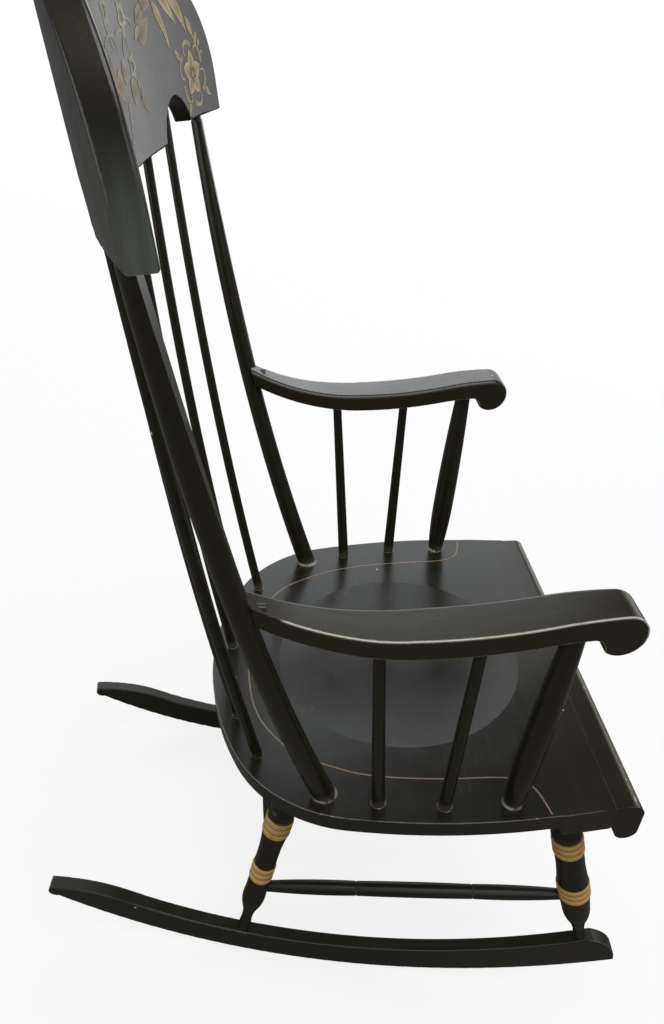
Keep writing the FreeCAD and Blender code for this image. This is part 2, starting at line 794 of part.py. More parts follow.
class BackSpindle:
    """One of the bent sticks between the seat and the crest rail, counted from the sitter's right."""

    def __init__(self, index):
        self.name = "back_spindle_%d" % (index + 1)
        from_middle = index - (int(SIZES["spindle_count"]) - 1) / 2
        foot_x = (from_middle * size("spindle_spacing")).value
        row = size("spindle_row_radius").value
        foot_y = size("spindle_row_setback").value - row + math.sqrt(row * row - foot_x * foot_x)
        top_x = (from_middle * size("spindle_top_spacing")).value
        in_notch = abs(top_x) > size("crest_drop_half_width").value
        level = notch_height(abs(top_x)) if in_notch else -size("crest_drop").value
        top = CREST.multVec(FreeCAD.Vector(top_x, -crest_sagitta(top_x), level))
        foot = FreeCAD.Vector(foot_x, foot_y, 0)
        self.place = along(foot, top)
        self.length = derived("%s_length" % self.name, Dim((top - foot).Length))
        self.bow = size("spindle_bow")
        radius = (self.length * self.length / 4 + self.bow * self.bow) / (2 * self.bow)
        self.end_angle = math.degrees(math.asin(self.length.value / 2 / radius.value))

    def at_foot(self):
        return self.place.multiply(FreeCAD.Placement(FreeCAD.Vector(), tilted(-self.end_angle)))

    def at_top(self):
        return self.place.multiply(FreeCAD.Placement(vector(0, 0, self.length), tilted(self.end_angle)))

    def build(self):
        body = new_body(self.name)
        foot = size("spindle_foot_diameter")
        top = size("spindle_top_diameter")
        sections, angle = bent_rod(body, self.name, self.length, self.bow, [foot, (foot + top) / 2, top])
        foot_ring = new_sketch(body, self.name + "_foot_ring", "XY_Plane",
                               FreeCAD.Placement(FreeCAD.Vector(), tilted(-angle)))
        circle_on(foot_ring, foot)
        add_pad(body, foot_ring, size("seat_socket_depth"), self.name + "_foot_tenon", backwards=True)
        top_ring = new_sketch(body, self.name + "_top_ring", "XY_Plane",
                              FreeCAD.Placement(vector(0, 0, self.length), tilted(angle)))
        circle_on(top_ring, top)
        add_pad(body, top_ring, size("spindle_tenon_length"), self.name + "_top_tenon")
        body.Placement = self.place
        return body


def notch_height(x):
    """The height of the notch's arch over the crest rail's own level, on the arc nearer the middle."""
    start = vector(size("crest_drop_half_width"), -size("crest_drop"), 0)
    end = vector(size("crest_notch_peak"), size("crest_notch_rise"), 0)
    arc = arc_between(start, end, size("crest_notch_radius").value, -1)
    return arc.Center.y + math.sqrt(arc.Radius ** 2 - (x - arc.Center.x) ** 2)


SPINDLES = [BackSpindle(index) for index in range(int(SIZES["spindle_count"]))]


def arm_curves():
    """The arm's side outline as (depth, height, radius, turn), from the rear top over the scroll and
    back along the underside."""
    thick = size("arm_thickness")
    dip = size("arm_dip_radius")
    rear = size("arm_rear_radius")
    crown = size("arm_crown_radius")
    roll = size("arm_scroll_radius")
    scroll_y = -size("arm_scroll_depth")
    scroll_z = size("arm_front_height") - roll
    neck = (scroll_y + 0.643 * roll, scroll_z - 0.766 * roll)
    cove = (scroll_y + size("arm_cove_length"), size("arm_cove_height"))
    return [
        (-size("arm_low_depth"), size("arm_low_height"), rear, -1),
        (-size("arm_rise_depth"), size("arm_rise_height"), dip, -1),
        (scroll_y, size("arm_front_height"), crown, 1),
        (scroll_y - roll, scroll_z, roll, 1),
        (scroll_y, scroll_z - roll, roll, 1),
        (neck[0], neck[1], roll, 1),
        (cove[0], cove[1], size("arm_cove_radius"), -1),
        (-size("arm_rise_depth"), size("arm_rise_height") - thick, crown - thick, -1),
        (-size("arm_low_depth"), size("arm_low_height") - thick, dip + thick, 1),
    ]


class Arm:
    """One sawn arm: dipped behind, rolled over at its front end, coped and tenoned to the back post."""

    def __init__(self, side):
        self.side = side
        self.name = "arm_" + side_name(side)
        self.x = mirrored_x(side, size("arm_half_spacing"))
        post = POSTS[side]
        top = size("arm_rear_height")
        low = top - size("arm_thickness")
        key = side_name(side)
        lap = size("arm_lap_depth")
        self.rear_top = (derived("arm_top_reach_" + key, Dim(post.axis_at(top.value).y)) - lap, top)
        self.rear_low = (derived("arm_low_reach_" + key, Dim(post.axis_at(low.value).y)) - lap, low)
        self.tenon_height = top - size("arm_thickness") / 2
        self.post_middle = post.axis_at(self.tenon_height.value)
        self.post_run = post.axis_at(top.value) - post.axis_at(low.value)

    def underside(self, depth):
        """The height of the arm's underside at a distance in front of the posts."""
        curves = arm_curves()[6:] + [(self.rear_low[0], self.rear_low[1],
                                      size("arm_rear_radius") + size("arm_thickness"), 1)]
        for before, curve in zip(curves, curves[1:]):
            start, end = point(before), point(curve)
            if start.x <= -depth <= end.x:
                arc = arc_between(start, end, curve[2].value, curve[3])
                rise = math.sqrt(arc.Radius ** 2 - (-depth - arc.Center.x) ** 2)
                return arc.Center.y - curve[3] * rise
        return 0.0

    def blank(self):
        body = new_body(self.name + "_blank")
        side_view = new_sketch(body, self.name + "_side_view", "YZ_Plane")
        outline = Outline(side_view, *self.rear_top)
        for curve in arm_curves():
            outline.arc(*curve)
        outline.arc(*self.rear_low, size("arm_rear_radius") + size("arm_thickness"), 1)
        outline.close()
        wide = 4 * size("arm_elbow_inner")
        add_pad(body, side_view, wide, self.name + "_plank", middle=True)
        plan = new_sketch(body, self.name + "_plan", "XY_Plane")
        self.plan_outline(plan)
        frame_rectangle(plan, wide, -2 * size("arm_scroll_depth"), Dim(150))
        sawing = add_pocket(body, plan, 3 * size("arm_rear_height"), self.name + "_sawing", middle=True)
        rounded(body, sawing, size("arm_edge_round"), self.is_inner_top_edge)
        tenon = new_sketch(body, self.name + "_tenon_ring", "XZ_Plane",
                           FreeCAD.Placement(vector(0, 0, -self.tenon_start()), FreeCAD.Rotation()))
        circle_on(tenon, size("arm_tenon_diameter"), Dim(0), self.tenon_height)
        add_pad(body, tenon, size("post_middle_diameter") / 2 + size("arm_tenon_length"),
                self.name + "_tenon", backwards=True)
        body.Placement = FreeCAD.Placement(vector(self.x, 0, 0), FreeCAD.Rotation())
        return body

    def tenon_start(self):
        """The tenon is drawn from inside the arm, a post's width before the post's middle."""
        return self.post_middle.y - size("post_middle_diameter").value

    def plan_outline(self, sketch):
        rear = max(self.rear_top[0].value, self.rear_low[0].value)
        rear = Dim(rear) + size("arm_lap_depth")
        front = -size("arm_scroll_depth") - 2 * size("arm_scroll_radius")
        elbow = -size("arm_elbow_depth")
        side_radius = size("arm_side_radius")
        front_radius = size("arm_front_radius")
        outer = [(size("arm_front_outer"), front), (size("arm_elbow_outer"), elbow),
                 (size("arm_rear_outer"), rear)]
        inner = [(-size("arm_rear_inner"), rear), (-size("arm_elbow_inner"), elbow),
                 (-size("arm_front_inner"), front)]
        if self.side < 0:
            outer, inner = ([(-x, y) for x, y in reversed(inner)], [(-x, y) for x, y in reversed(outer)])
        outline = Outline(sketch, *outer[0])
        outline.arc(*outer[1], front_radius, 1)
        outline.arc(*outer[2], side_radius, 1)
        outline.line(*inner[0])
        outline.arc(*inner[1], side_radius, 1)
        outline.arc(*inner[2], front_radius, 1)
        return outline.close()

    def is_inner_top_edge(self, edge):
        middle = edge.valueAt((edge.FirstParameter + edge.LastParameter) / 2)
        inward = -self.side * middle.x > size("arm_rear_inner").value - 4
        on_top = middle.z > self.underside(-min(middle.y, 0.0)) + size("arm_thickness").value / 2
        lengthwise = edge.Length > size("arm_thickness").value * 2
        return inward and on_top and lengthwise

    def cope(self):
        """The post's own roundness, cut into the arm's end, sparing the tenon."""
        start = self.post_middle - self.post_run * 2
        place = along(start, start + self.post_run)
        cutter = bore(self.name + "_cope", place, size("post_middle_diameter") / 2 + size("butt_gap"),
                      Dim(0), 6 * size("arm_thickness"))
        spare = bore(self.name + "_tenon_spare", self.tenon_place(), size("arm_tenon_diameter") / 2,
                     -2 * size("post_middle_diameter"), 2 * size("post_middle_diameter"))
        cut = doc.addObject("Part::Cut", self.name + "_coping")
        cut.Base = cutter
        cut.Tool = spare
        return cut

    def tenon_place(self):
        middle = FreeCAD.Vector(number(self.x), self.post_middle.y, self.tenon_height.value)
        return FreeCAD.Placement(middle, FreeCAD.Rotation(FreeCAD.Vector(1, 0, 0), -90))


ARMS = {side: Arm(side) for side in (1, -1)}


class ArmSupport:
    """A straight turned stick between the seat and an arm."""

    def __init__(self, side, kind):
        self.name = "%s_%s" % (kind, side_name(side))
        self.arm = ARMS[side]
        self.is_post = kind == "arm_post"
        key = {"arm_post": "arm_post", "arm_spindle_rear": "rear_arm_spindle",
               "arm_spindle_front": "front_arm_spindle"}[kind]
        foot_x = mirrored_x(side, size(key + "_half_spacing"))
        top_depth = size(key + "_top_depth").value
        foot = vector(foot_x, -size(key + "_depth"), 0)
        top = vector(self.arm.x, -top_depth, self.arm.underside(top_depth))
        self.place = along(foot, top)
        self.length = derived(self.name + "_length", Dim((top - foot).Length))
        kind_size = "arm_post" if self.is_post else "arm_spindle"
        top_size = "arm_post_neck_diameter" if self.is_post else "arm_spindle_top_diameter"
        self.foot_radius = size(kind_size + "_foot_diameter") / 2
        self.top_radius = size(top_size) / 2

    def build(self):
        body = new_body(self.name)
        foot = self.foot_radius
        top = self.top_radius
        stations = [(foot, -size("seat_socket_depth")), (foot, Dim(0))]
        if self.is_post:
            swell = size("arm_post_swell_diameter") / 2
            stations.append((swell, self.length * size("arm_post_swell_share"),
                             size("arm_post_swell_radius"), 1))
            stations.append((top, self.length, size("arm_post_shaft_radius"), 1))
        else:
            stations.append((top, self.length))
        stations.append((top, self.length + size("arm_post_tenon_length")))
        add_turning(body, self.name, stations)
        body.Placement = self.place
        return body

    def seat_bore(self):
        return socket(self.name + "_seat_socket", self.place, self.foot_radius, size("seat_socket_depth"))

    def arm_bore(self):
        place = flipped(self.place.multiply(lowered(self.length)))
        return socket(self.name + "_arm_socket", place, self.top_radius, size("arm_post_tenon_length"))


def flipped(placement):
    """The same point with its Z axis turned round."""
    turned = FreeCAD.Rotation(FreeCAD.Vector(1, 0, 0), 180)
    return placement.multiply(FreeCAD.Placement(FreeCAD.Vector(), turned))


def socket(name, placement, radius, depth):
    """The hole for a tenon of the given radius that runs down from the placement, with room for glue."""
    return bore(name, placement, radius + size("glue_gap"), -(depth + size("socket_end_gap")), Dim(20))


SUPPORTS = [ArmSupport(side, kind) for side in (1, -1)
            for kind in ("arm_post", "arm_spindle_rear", "arm_spindle_front")]


class Rocker:
    """One sawn rocker: a runner of one curve below and a flatter one above, with an eased nose behind. In
    front the upper edge rounds over and runs down to a point on the lower curve."""

    def __init__(self, side):
        self.side = side
        self.name = "rocker_" + side_name(side)
        toe = math.degrees(math.atan(SIZES["rocker_toe_in"] / 1000))
        self.place = FreeCAD.Placement(vector(mirrored_x(side, size("rocker_half_spacing")), 0, 0),
                                       FreeCAD.Rotation(FreeCAD.Vector(0, 0, 1), side * toe))

    def blank(self):
        body = new_body(self.name + "_blank")
        radius = size("rocker_radius")
        low_centre = radius - size("rocker_floor_drop")
        top_radius = size("rocker_top_radius")
        top_centre = top_radius - size("rocker_top_drop")
        top_depth = size("rocker_top_centre_depth")
        toe = -size("rocker_toe_depth")
        toe_run = toe + size("rocker_centre_depth")
        heel = size("rocker_heel_length")
        heel_run = heel + size("rocker_centre_depth")
        flat = -size("rocker_flat_start_depth")
        flat_run = flat + top_depth
        flat_height = top_centre - root(top_radius * top_radius - flat_run * flat_run)
        hump = size("rocker_hump_start")
        hump_run = hump + top_depth
        outline = Outline(new_sketch(body, self.name + "_side_view", "YZ_Plane"), toe,
                          low_centre - root(radius * radius - toe_run * toe_run))
        outline.arc(heel, low_centre - root(radius * radius - heel_run * heel_run), radius, 1)
        outline.arc(size("rocker_nose_length"), -size("rocker_nose_drop"), size("rocker_nose_radius"), 1)
        outline.arc(hump, top_centre - root(top_radius * top_radius - hump_run * hump_run),
                    size("rocker_hump_radius"), 1)
        outline.arc(flat, flat_height, top_radius, -1)
        outline.line(-size("rocker_flat_end_depth"), flat_height)
        outline.close(size("rocker_front_radius"), 1)
        sawn = add_pad(body, outline.sketch, size("rocker_thickness"), self.name + "_sawn", middle=True)
        rounded(body, sawn, size("rocker_edge_round"), lambda edge: edge.Length > 100)
        body.Placement = self.place
        return body

    def top_at(self, depth):
        """The place on the rocker's upper edge at a distance behind the seat frame's origin, with Z square
        to the edge."""
        turn = self.place.Rotation.multVec(FreeCAD.Vector(0, 1, 0)).y
        run = depth / turn + SIZES["rocker_top_centre_depth"]
        radius = SIZES["rocker_top_radius"]
        rise = math.sqrt(radius * radius - run * run)
        spot = FreeCAD.Vector(0, depth / turn, radius - SIZES["rocker_top_drop"] - rise)
        slope = FreeCAD.Rotation(FreeCAD.Vector(1, 0, 0), math.degrees(math.atan2(run, rise)))
        return self.place.multiply(FreeCAD.Placement(spot, slope))


ROCKERS = {side: Rocker(side) for side in (1, -1)}

LEG_SHAPES = {
    "front": {"belly": 0.94, "low_band": 1.02, "waist": 0.93, "high_band": 0.95, "collar": 0.92},
    "rear": {"belly": 0.90, "low_band": 0.88, "waist": 0.88, "high_band": 1.03, "collar": 0.95},
}


class Leg:
    """One splayed turned leg, from its tenon in the rocker up to its socket in the seat."""

    def __init__(self, side, row):
        self.side = side
        self.row = row
        self.name = "leg_%s_%s" % (row, side_name(side))
        if row == "front":
            foot_depth = -SIZES["front_foot_depth"]
            top_depth = -size("front_leg_depth")
        else:
            foot_depth = SIZES["rear_foot_setback"]
            top_depth = size("rear_leg_setback")
        self.seat_level = -size("seat_thickness")
        self.host = ROCKERS[side].top_at(foot_depth)
        self.foot = self.host.Base
        self.top = vector(mirrored_x(side, size(row + "_leg_half_spacing")), top_depth, self.seat_level)
        self.place = along(self.foot, self.top)
        self.length = derived(row + "_leg_length", Dim((self.top - self.foot).Length))
        self.radius = size(row + "_leg_diameter") / 2

    def stations(self):
        shape = LEG_SHAPES[self.row]
        foot = size("leg_foot_diameter") / 2
        tenon = size("leg_foot_tenon_diameter") / 2
        band = 3 * size("leg_ring_height")
        low = size(self.row + "_low_band_height") - band / 2
        high = size(self.row + "_high_band_height") - band / 2
        belly = self.radius * shape["belly"]
        ogee = size("leg_ogee_radius")
        trim = -size("scribe_allowance")
        belly_height = low - size("leg_belly_length")
        mid_height = (size("leg_foot_height") + belly_height) / 2
        stations = [(tenon, trim - size("leg_foot_tenon_length")), (tenon, trim), (foot, trim),
                    (foot, size("leg_foot_height")),
                    ((foot + belly) / 2, mid_height, ogee, -1), (belly, belly_height, ogee, 1),
                    (self.radius * shape["low_band"], low)]
        stations += self.rings(self.radius * shape["low_band"], low)
        stations += [(self.radius * shape["waist"], (low + high + band) / 2, size("leg_waist_radius"), -1),
                     (self.radius * shape["high_band"], high, size("leg_waist_radius"), -1)]
        stations += self.rings(self.radius * shape["high_band"], high)
        collar = self.radius * shape["collar"]
        collar_top = high + band + size("leg_collar_height")
        stations += [(collar, high + band), (collar, collar_top, size("leg_collar_radius"), 1),
                     (size("leg_top_diameter") / 2, self.length - size("leg_taper_length")),
                     (size("leg_top_diameter") / 2, self.length + size("leg_tenon_length"))]
        return stations

    def rings(self, radius, low):
        """Three half-round rings, one above another."""
        height = size("leg_ring_height")
        return [(radius, low + height * (ring + 1), size("leg_ring_radius"), 1) for ring in range(3)]

    def radius_at(self, share):
        """The leg's radius at a share of its length, from the outline's corners."""
        height = share * self.length.value
        corners = [(station[0].value, station[1].value) for station in self.stations()]
        for (low_radius, low), (high_radius, high) in zip(corners, corners[1:]):
            if low <= height < high:
                return low_radius + (high_radius - low_radius) * (height - low) / (high - low)
        return corners[-1][0]

    def axis_point(self, share):
        return self.foot + (self.top - self.foot) * share

    def blank(self):
        body = new_body(self.name + "_blank")
        add_turning(body, self.name, self.stations())
        body.Placement = self.place
        return body

    def trimmed(self, cutters):
        """The leg with its shoulder scribed to the rocker and its stretcher sockets bored."""
        plane = flipped(self.host.multiply(lowered(size("butt_gap"))))
        scribe = scribe_block(self.name, plane, self.place, size("leg_foot_tenon_diameter") / 2)
        return drilled(self.name, self.blank(), cutters + [scribe])

    def seat_bore(self):
        place = flipped(self.place.multiply(lowered(self.length)))
        return socket(self.name + "_seat_socket", place, size("leg_top_diameter") / 2,
                      size("leg_tenon_length"))

    def rocker_bore(self):
        depth = size("leg_foot_tenon_length") + size("scribe_allowance")
        return socket(self.name + "_rocker_socket", self.place, size("leg_foot_tenon_diameter") / 2, depth)


LEGS = {(side, row): Leg(side, row) for side in (1, -1) for row in ("front", "rear")}


class Stretcher:
    """A turned stick between two legs at a share of their length."""

    def __init__(self, name, start_leg, end_leg, share_name, diameter_name):
        self.name = name
        self.legs = (start_leg, end_leg)
        self.radius = size(diameter_name) / 2
        self.end_radius = size("stretcher_end_diameter") / 2
        self.share = SIZES[share_name]
        start = start_leg.axis_point(self.share)
        end = end_leg.axis_point(self.share)
        self.place = along(start, end, FreeCAD.Vector(0, 0, 1))
        tenon = size("stretcher_tenon_length")
        self.low = derived(name + "_start", Dim(start_leg.radius_at(self.share))) - tenon
        reach = Dim((end - start).Length - end_leg.radius_at(self.share))
        self.high = derived(name + "_end", reach) + tenon

    def build(self):
        body = new_body(self.name)
        span = self.high - self.low
        width = size("stretcher_ring_width")
        depth = size("stretcher_ring_depth")
        full = self.radius
        rings = [self.low + span * share for share in (0.31, 0.69)]
        low_shoulder = self.low + size("stretcher_tenon_length") + width
        high_shoulder = self.high - size("stretcher_tenon_length") - width
        swell = size("stretcher_swell_radius")
        waist = size("stretcher_middle_radius")
        stations = [(self.end_radius, self.low), (self.end_radius, low_shoulder),
                    (full - depth, rings[0] - width / 2, swell, 1), (full - 2 * depth, rings[0]),
                    (full - depth, rings[0] + width / 2), (full - depth, rings[1] - width / 2, waist, 1),
                    (full - 2 * depth, rings[1]), (full - depth, rings[1] + width / 2),
                    (self.end_radius, high_shoulder, swell, 1), (self.end_radius, self.high)]
        add_turning(body, self.name, stations)
        body.Placement = self.place
        return body

    def bore_in(self, leg):
        radius = self.end_radius + size("glue_gap")
        gap = size("socket_end_gap")
        name = "%s_in_%s" % (self.name, leg.name)
        if leg is self.legs[0]:
            return bore(name, self.place, radius, self.low - gap, self.low + 2 * leg.radius)
        return bore(name, self.place, radius, self.high - 2 * leg.radius, self.high + gap)


def make_stretchers():
    stretchers = []
    for side in (1, -1):
        stretchers.append(Stretcher("side_stretcher_" + side_name(side), LEGS[side, "front"],
                                    LEGS[side, "rear"], "side_stretcher_share", "side_stretcher_diameter"))
    for row in ("front", "rear"):
        stretchers.append(Stretcher(row + "_stretcher", LEGS[-1, row], LEGS[1, row],
                                    row + "_stretcher_share", "cross_stretcher_diameter"))
    return stretchers


STRETCHERS = make_stretchers()


def make_seat():
    tools = []
    for side, post in POSTS.items():
        name = "back_post_%s_seat_socket" % side_name(side)
        tools.append(socket(name, post.at_foot(), size("post_foot_diameter") / 2,
                            size("post_foot_tenon_length")))
    for spindle in SPINDLES:
        tools.append(socket(spindle.name + "_seat_socket", spindle.at_foot(),
                            size("spindle_foot_diameter") / 2, size("seat_socket_depth")))
    tools += [support.seat_bore() for support in SUPPORTS]
    tools += [leg.seat_bore() for leg in LEGS.values()]
    return drilled("seat", seat_blank(), tools)


def make_crest():
    tools = []
    for side, post in POSTS.items():
        name = "back_post_%s_crest_socket" % side_name(side)
        tools.append(socket(name, flipped(post.at_top()), size("post_tenon_diameter") / 2,
                            size("post_tenon_length")))
    for spindle in SPINDLES:
        tools.append(socket(spindle.name + "_crest_socket", flipped(spindle.at_top()),
                            size("spindle_top_diameter") / 2, size("spindle_tenon_length")))
    return drilled("crest_rail", crest_blank(), tools)


def make_back_post(side):
    post = POSTS[side]
    arm = ARMS[side]
    name = "back_post_" + side_name(side)
    spot = CREST.multVec(FreeCAD.Vector(mirrored_x(side, size("post_top_half_spacing").value), 0, 0))
    spot.y = post.at_top().Base.y
    plane = FreeCAD.Placement(spot, CREST.Rotation).multiply(lowered(-size("butt_gap")))
    scribe = scribe_block(name, plane, post.at_top(), size("post_tenon_diameter") / 2)
    arm_end = size("arm_tenon_length") - size("post_middle_diameter") / 2 + size("socket_end_gap")
    arm_socket = bore(name + "_arm_socket", arm.tenon_place(),
                      size("arm_tenon_diameter") / 2 + size("glue_gap"),
                      -2 * size("post_middle_diameter"), arm_end)
    return drilled(name, post.blank(), [scribe, arm_socket])


def make_arm(side):
    arm = ARMS[side]
    tools = [support.arm_bore() for support in SUPPORTS if support.arm is arm]
    return drilled(arm.name, arm.blank(), tools + [arm.cope()])


def make_leg(leg):
    tools = []
    for stretcher in STRETCHERS:
        if leg in stretcher.legs:
            tools.append(stretcher.bore_in(leg))
    return leg.trimmed(tools)


def make_rocker(side):
    rocker = ROCKERS[side]
    tools = [LEGS[side, row].rocker_bore() for row in ("front", "rear")]
    return drilled(rocker.name, rocker.blank(), tools)


def make_pieces():
    pieces = [make_seat(), make_front_roll(), make_crest()]
    for side in (1, -1):
        pieces += [make_back_post(side), make_arm(side), make_rocker(side)]
    pieces += [spindle.build() for spindle in SPINDLES]
    pieces += [support.build() for support in SUPPORTS]
    pieces += [make_leg(leg) for leg in LEGS.values()]
    pieces += [stretcher.build() for stretcher in STRETCHERS]
    return pieces


def balance(pieces):
    """The placement that leans the chair back about the centre of the rocker curve until its centre of
    gravity lies below that centre."""
    weight = sum(piece.Shape.Volume for piece in pieces)
    moment = FreeCAD.Vector()
    for piece in pieces:
        for solid in piece.Shape.Solids:
            moment = moment + solid.CenterOfMass * solid.Volume
    centre = FreeCAD.Vector(0, -SIZES["rocker_centre_depth"],
                            SIZES["rocker_radius"] - SIZES["rocker_floor_drop"])
    offset = moment * (1.0 / weight) - centre
    turn = math.degrees(math.atan2(-offset.y, -offset.z))
    return FreeCAD.Placement(FreeCAD.Vector(), tilted(turn), centre)


def stand(pieces):
    """Puts the balanced chair on the floor, the middle of its outline at the origin."""
    rest = balance(pieces)
    for piece in pieces:
        piece.Placement = rest.multiply(piece.Placement)
    doc.recompute()
    extent = FreeCAD.BoundBox()
    for piece in pieces:
        extent.add(piece.Shape.optimalBoundingBox(False))
    shift = FreeCAD.Placement(FreeCAD.Vector(-extent.Center.x, -extent.Center.y, -extent.ZMin),
                              FreeCAD.Rotation())
    for piece in pieces:
        piece.Placement = shift.multiply(piece.Placement)
    doc.recompute()
    print("leant back %.4f degrees" % math.degrees(rest.Rotation.Angle))
    print("moved %.4f to the rear and %.4f up" % (shift.Base.y, shift.Base.z))
    print("size %.1f x %.1f x %.1f" % (extent.XLength, extent.YLength, extent.ZLength))


def check(pieces):
    for item in doc.Objects:
        if "Invalid" in item.State or "Error" in item.State:
            raise RuntimeError("%s did not compute" % item.Label)
    for piece in pieces:
        shape = piece.Shape
        if shape.isNull() or not shape.isValid() or len(shape.Solids) != 1:
            raise RuntimeError("%s is not one valid solid" % piece.Label)


def write(pieces):
    os.makedirs("parts", exist_ok=True)
    for piece in pieces:
        piece.Shape.exportStep("parts/%s.step" % piece.Label)


PIECES = make_pieces()
doc.recompute()
check(PIECES)
stand(PIECES)
check(PIECES)
write(PIECES)
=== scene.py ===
import math

import bpy
from mathutils import Matrix, Vector


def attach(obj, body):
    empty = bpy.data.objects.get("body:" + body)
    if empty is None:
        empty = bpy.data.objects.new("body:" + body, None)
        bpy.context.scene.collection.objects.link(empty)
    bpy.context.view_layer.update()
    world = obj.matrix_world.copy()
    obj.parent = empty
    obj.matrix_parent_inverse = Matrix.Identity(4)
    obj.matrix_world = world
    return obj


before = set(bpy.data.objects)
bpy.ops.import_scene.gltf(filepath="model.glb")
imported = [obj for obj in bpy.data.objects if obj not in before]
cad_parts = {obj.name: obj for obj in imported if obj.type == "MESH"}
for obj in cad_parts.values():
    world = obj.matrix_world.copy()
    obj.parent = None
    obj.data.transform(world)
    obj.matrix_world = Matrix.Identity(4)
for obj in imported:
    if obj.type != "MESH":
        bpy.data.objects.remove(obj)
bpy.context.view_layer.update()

# The chair was drawn square to its seat and then leant back on its rockers. SEAT carries a point of the
# seat frame (origin on the seat top between the back posts, X to the sitter's left, Y to the rear) to
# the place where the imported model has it.
LEAN = math.radians(14.6360)
ROCKING_CENTRE = Vector((0.0, -0.170, 0.410))
FLOOR_SHIFT = Vector((0.0, 0.163328, 0.390115))
SEAT = (Matrix.Translation(ROCKING_CENTRE + FLOOR_SHIFT) @ Matrix.Rotation(-LEAN, 4, "X")
        @ Matrix.Translation(-ROCKING_CENTRE))


class Shade:
    """A shader socket that can be used in an expression: each operator adds its Math node."""

    def __init__(self, finish, socket):
        self.finish = finish
        self.socket = socket

    def math(self, operation, *values, clamp=False):
        settings = {"operation": operation, "use_clamp": clamp}
        return self.finish.node("ShaderNodeMath", settings, values)

    def __add__(self, other):
        return self.math("ADD", self, other)

    __radd__ = __add__

    def __sub__(self, other):
        return self.math("SUBTRACT", self, other)

    def __rsub__(self, other):
        return self.math("SUBTRACT", other, self)

    def __mul__(self, other):
        return self.math("MULTIPLY", self, other)

    __rmul__ = __mul__

    def __truediv__(self, other):
        return self.math("DIVIDE", self, other)

    def __abs__(self):
        return self.math("ABSOLUTE", self)

    def sign(self):
        return self.math("SIGN", self)

    def fraction(self):
        return self.math("FRACT", self)

    def clamped(self):
        return self.math("ADD", self, 0.0, clamp=True)

    def above(self, limit, soft=0.0):
        """1 where the value is over the limit, with a soft step of the given half width."""
        if soft == 0.0:
            return self.math("GREATER_THAN", self, limit)
        settings = {"interpolation_type": "SMOOTHSTEP"}
        return self.finish.node("ShaderNodeMapRange", settings,
                                {"Value": self, "From Min": limit - soft, "From Max": limit + soft})

    def below(self, limit, soft=0.0):
        return 1 - self.above(limit, soft)

    def between(self, low, high, soft=0.0):
        return self.above(low, soft) * self.below(high, soft)

    def most(self, other):
        return self.math("MAXIMUM", self, other)

    def output(self, name):
        """Another output of the same node."""
        return Shade(self.finish, self.socket.node.outputs[name])


class Finish:
    """One material under construction."""

    def __init__(self, name):
        self.material = bpy.data.materials.new(name)
        self.material.use_nodes = True
        self.tree = self.material.node_tree
        self.tree.nodes.clear()
        self.shader = self.tree.nodes.new("ShaderNodeBsdfPrincipled")
        output = self.tree.nodes.new("ShaderNodeOutputMaterial")
        self.tree.links.new(self.shader.outputs["BSDF"], output.inputs["Surface"])

    def put(self, socket, value):
        if isinstance(value, Shade):
            self.tree.links.new(value.socket, socket)
        else:
            socket.default_value = value

    def node(self, kind, settings=None, values=(), output=0):
        node = self.tree.nodes.new(kind)
        for name, setting in (settings or {}).items():
            setattr(node, name, setting)
        pairs = values.items() if isinstance(values, dict) else enumerate(values)
        for key, value in pairs:
            self.put(node.inputs[key], value)
        return Shade(self, node.outputs[output])

    def place(self, turned):
        """The surface's coordinates in a frame of the given matrix."""
        back = turned.inverted()
        return self.node("ShaderNodeMapping", {"vector_type": "POINT"},
                         {"Vector": self.node("ShaderNodeTexCoord", output="Object"),
                          "Location": back.to_translation(), "Rotation": back.to_euler()})

    def axes(self, vector):
        x = self.node("ShaderNodeSeparateXYZ", values=[vector])
        return x, x.output("Y"), x.output("Z")

    def vector(self, operation, first, second, output="Vector"):
        return self.node("ShaderNodeVectorMath", {"operation": operation}, [first, second], output)

    def dot(self, first, second):
        return self.vector("DOT_PRODUCT", first, second, "Value")

    def noise(self, vector, scale, detail=3.0, roughness=0.55):
        return self.node("ShaderNodeTexNoise", values={"Vector": vector, "Scale": scale, "Detail": detail,
                                                       "Roughness": roughness})

    def mix(self, factor, first, second):
        """A colour between two colours."""
        return self.node("ShaderNodeMix", {"data_type": "RGBA"}, {0: factor, 6: first, 7: second}, output=2)

    def bump(self, height, distance, strength=1.0, normal=None):
        values = {"Height": height, "Distance": distance, "Strength": strength}
        if normal is not None:
            values["Normal"] = normal
        return self.node("ShaderNodeBump", values=values)

    def set(self, **sockets):
        for name, value in sockets.items():
            self.put(self.shader.inputs[name.replace("_", " ")], value)
        return self.material


def colour(red, green, blue):
    return (red, green, blue, 1.0)


BLACK = colour(0.0030, 0.0034, 0.0024)
OLIVE = colour(0.0120, 0.0102, 0.0042)
UNDERCOAT = colour(0.060, 0.036, 0.018)
BARE_WOOD = colour(0.46, 0.37, 0.24)
CHALK = colour(0.68, 0.64, 0.54)
DUST = colour(0.105, 0.095, 0.075)
BRUSH_DEPTH = 0.00035
GRAIN_DEPTH = 0.00012


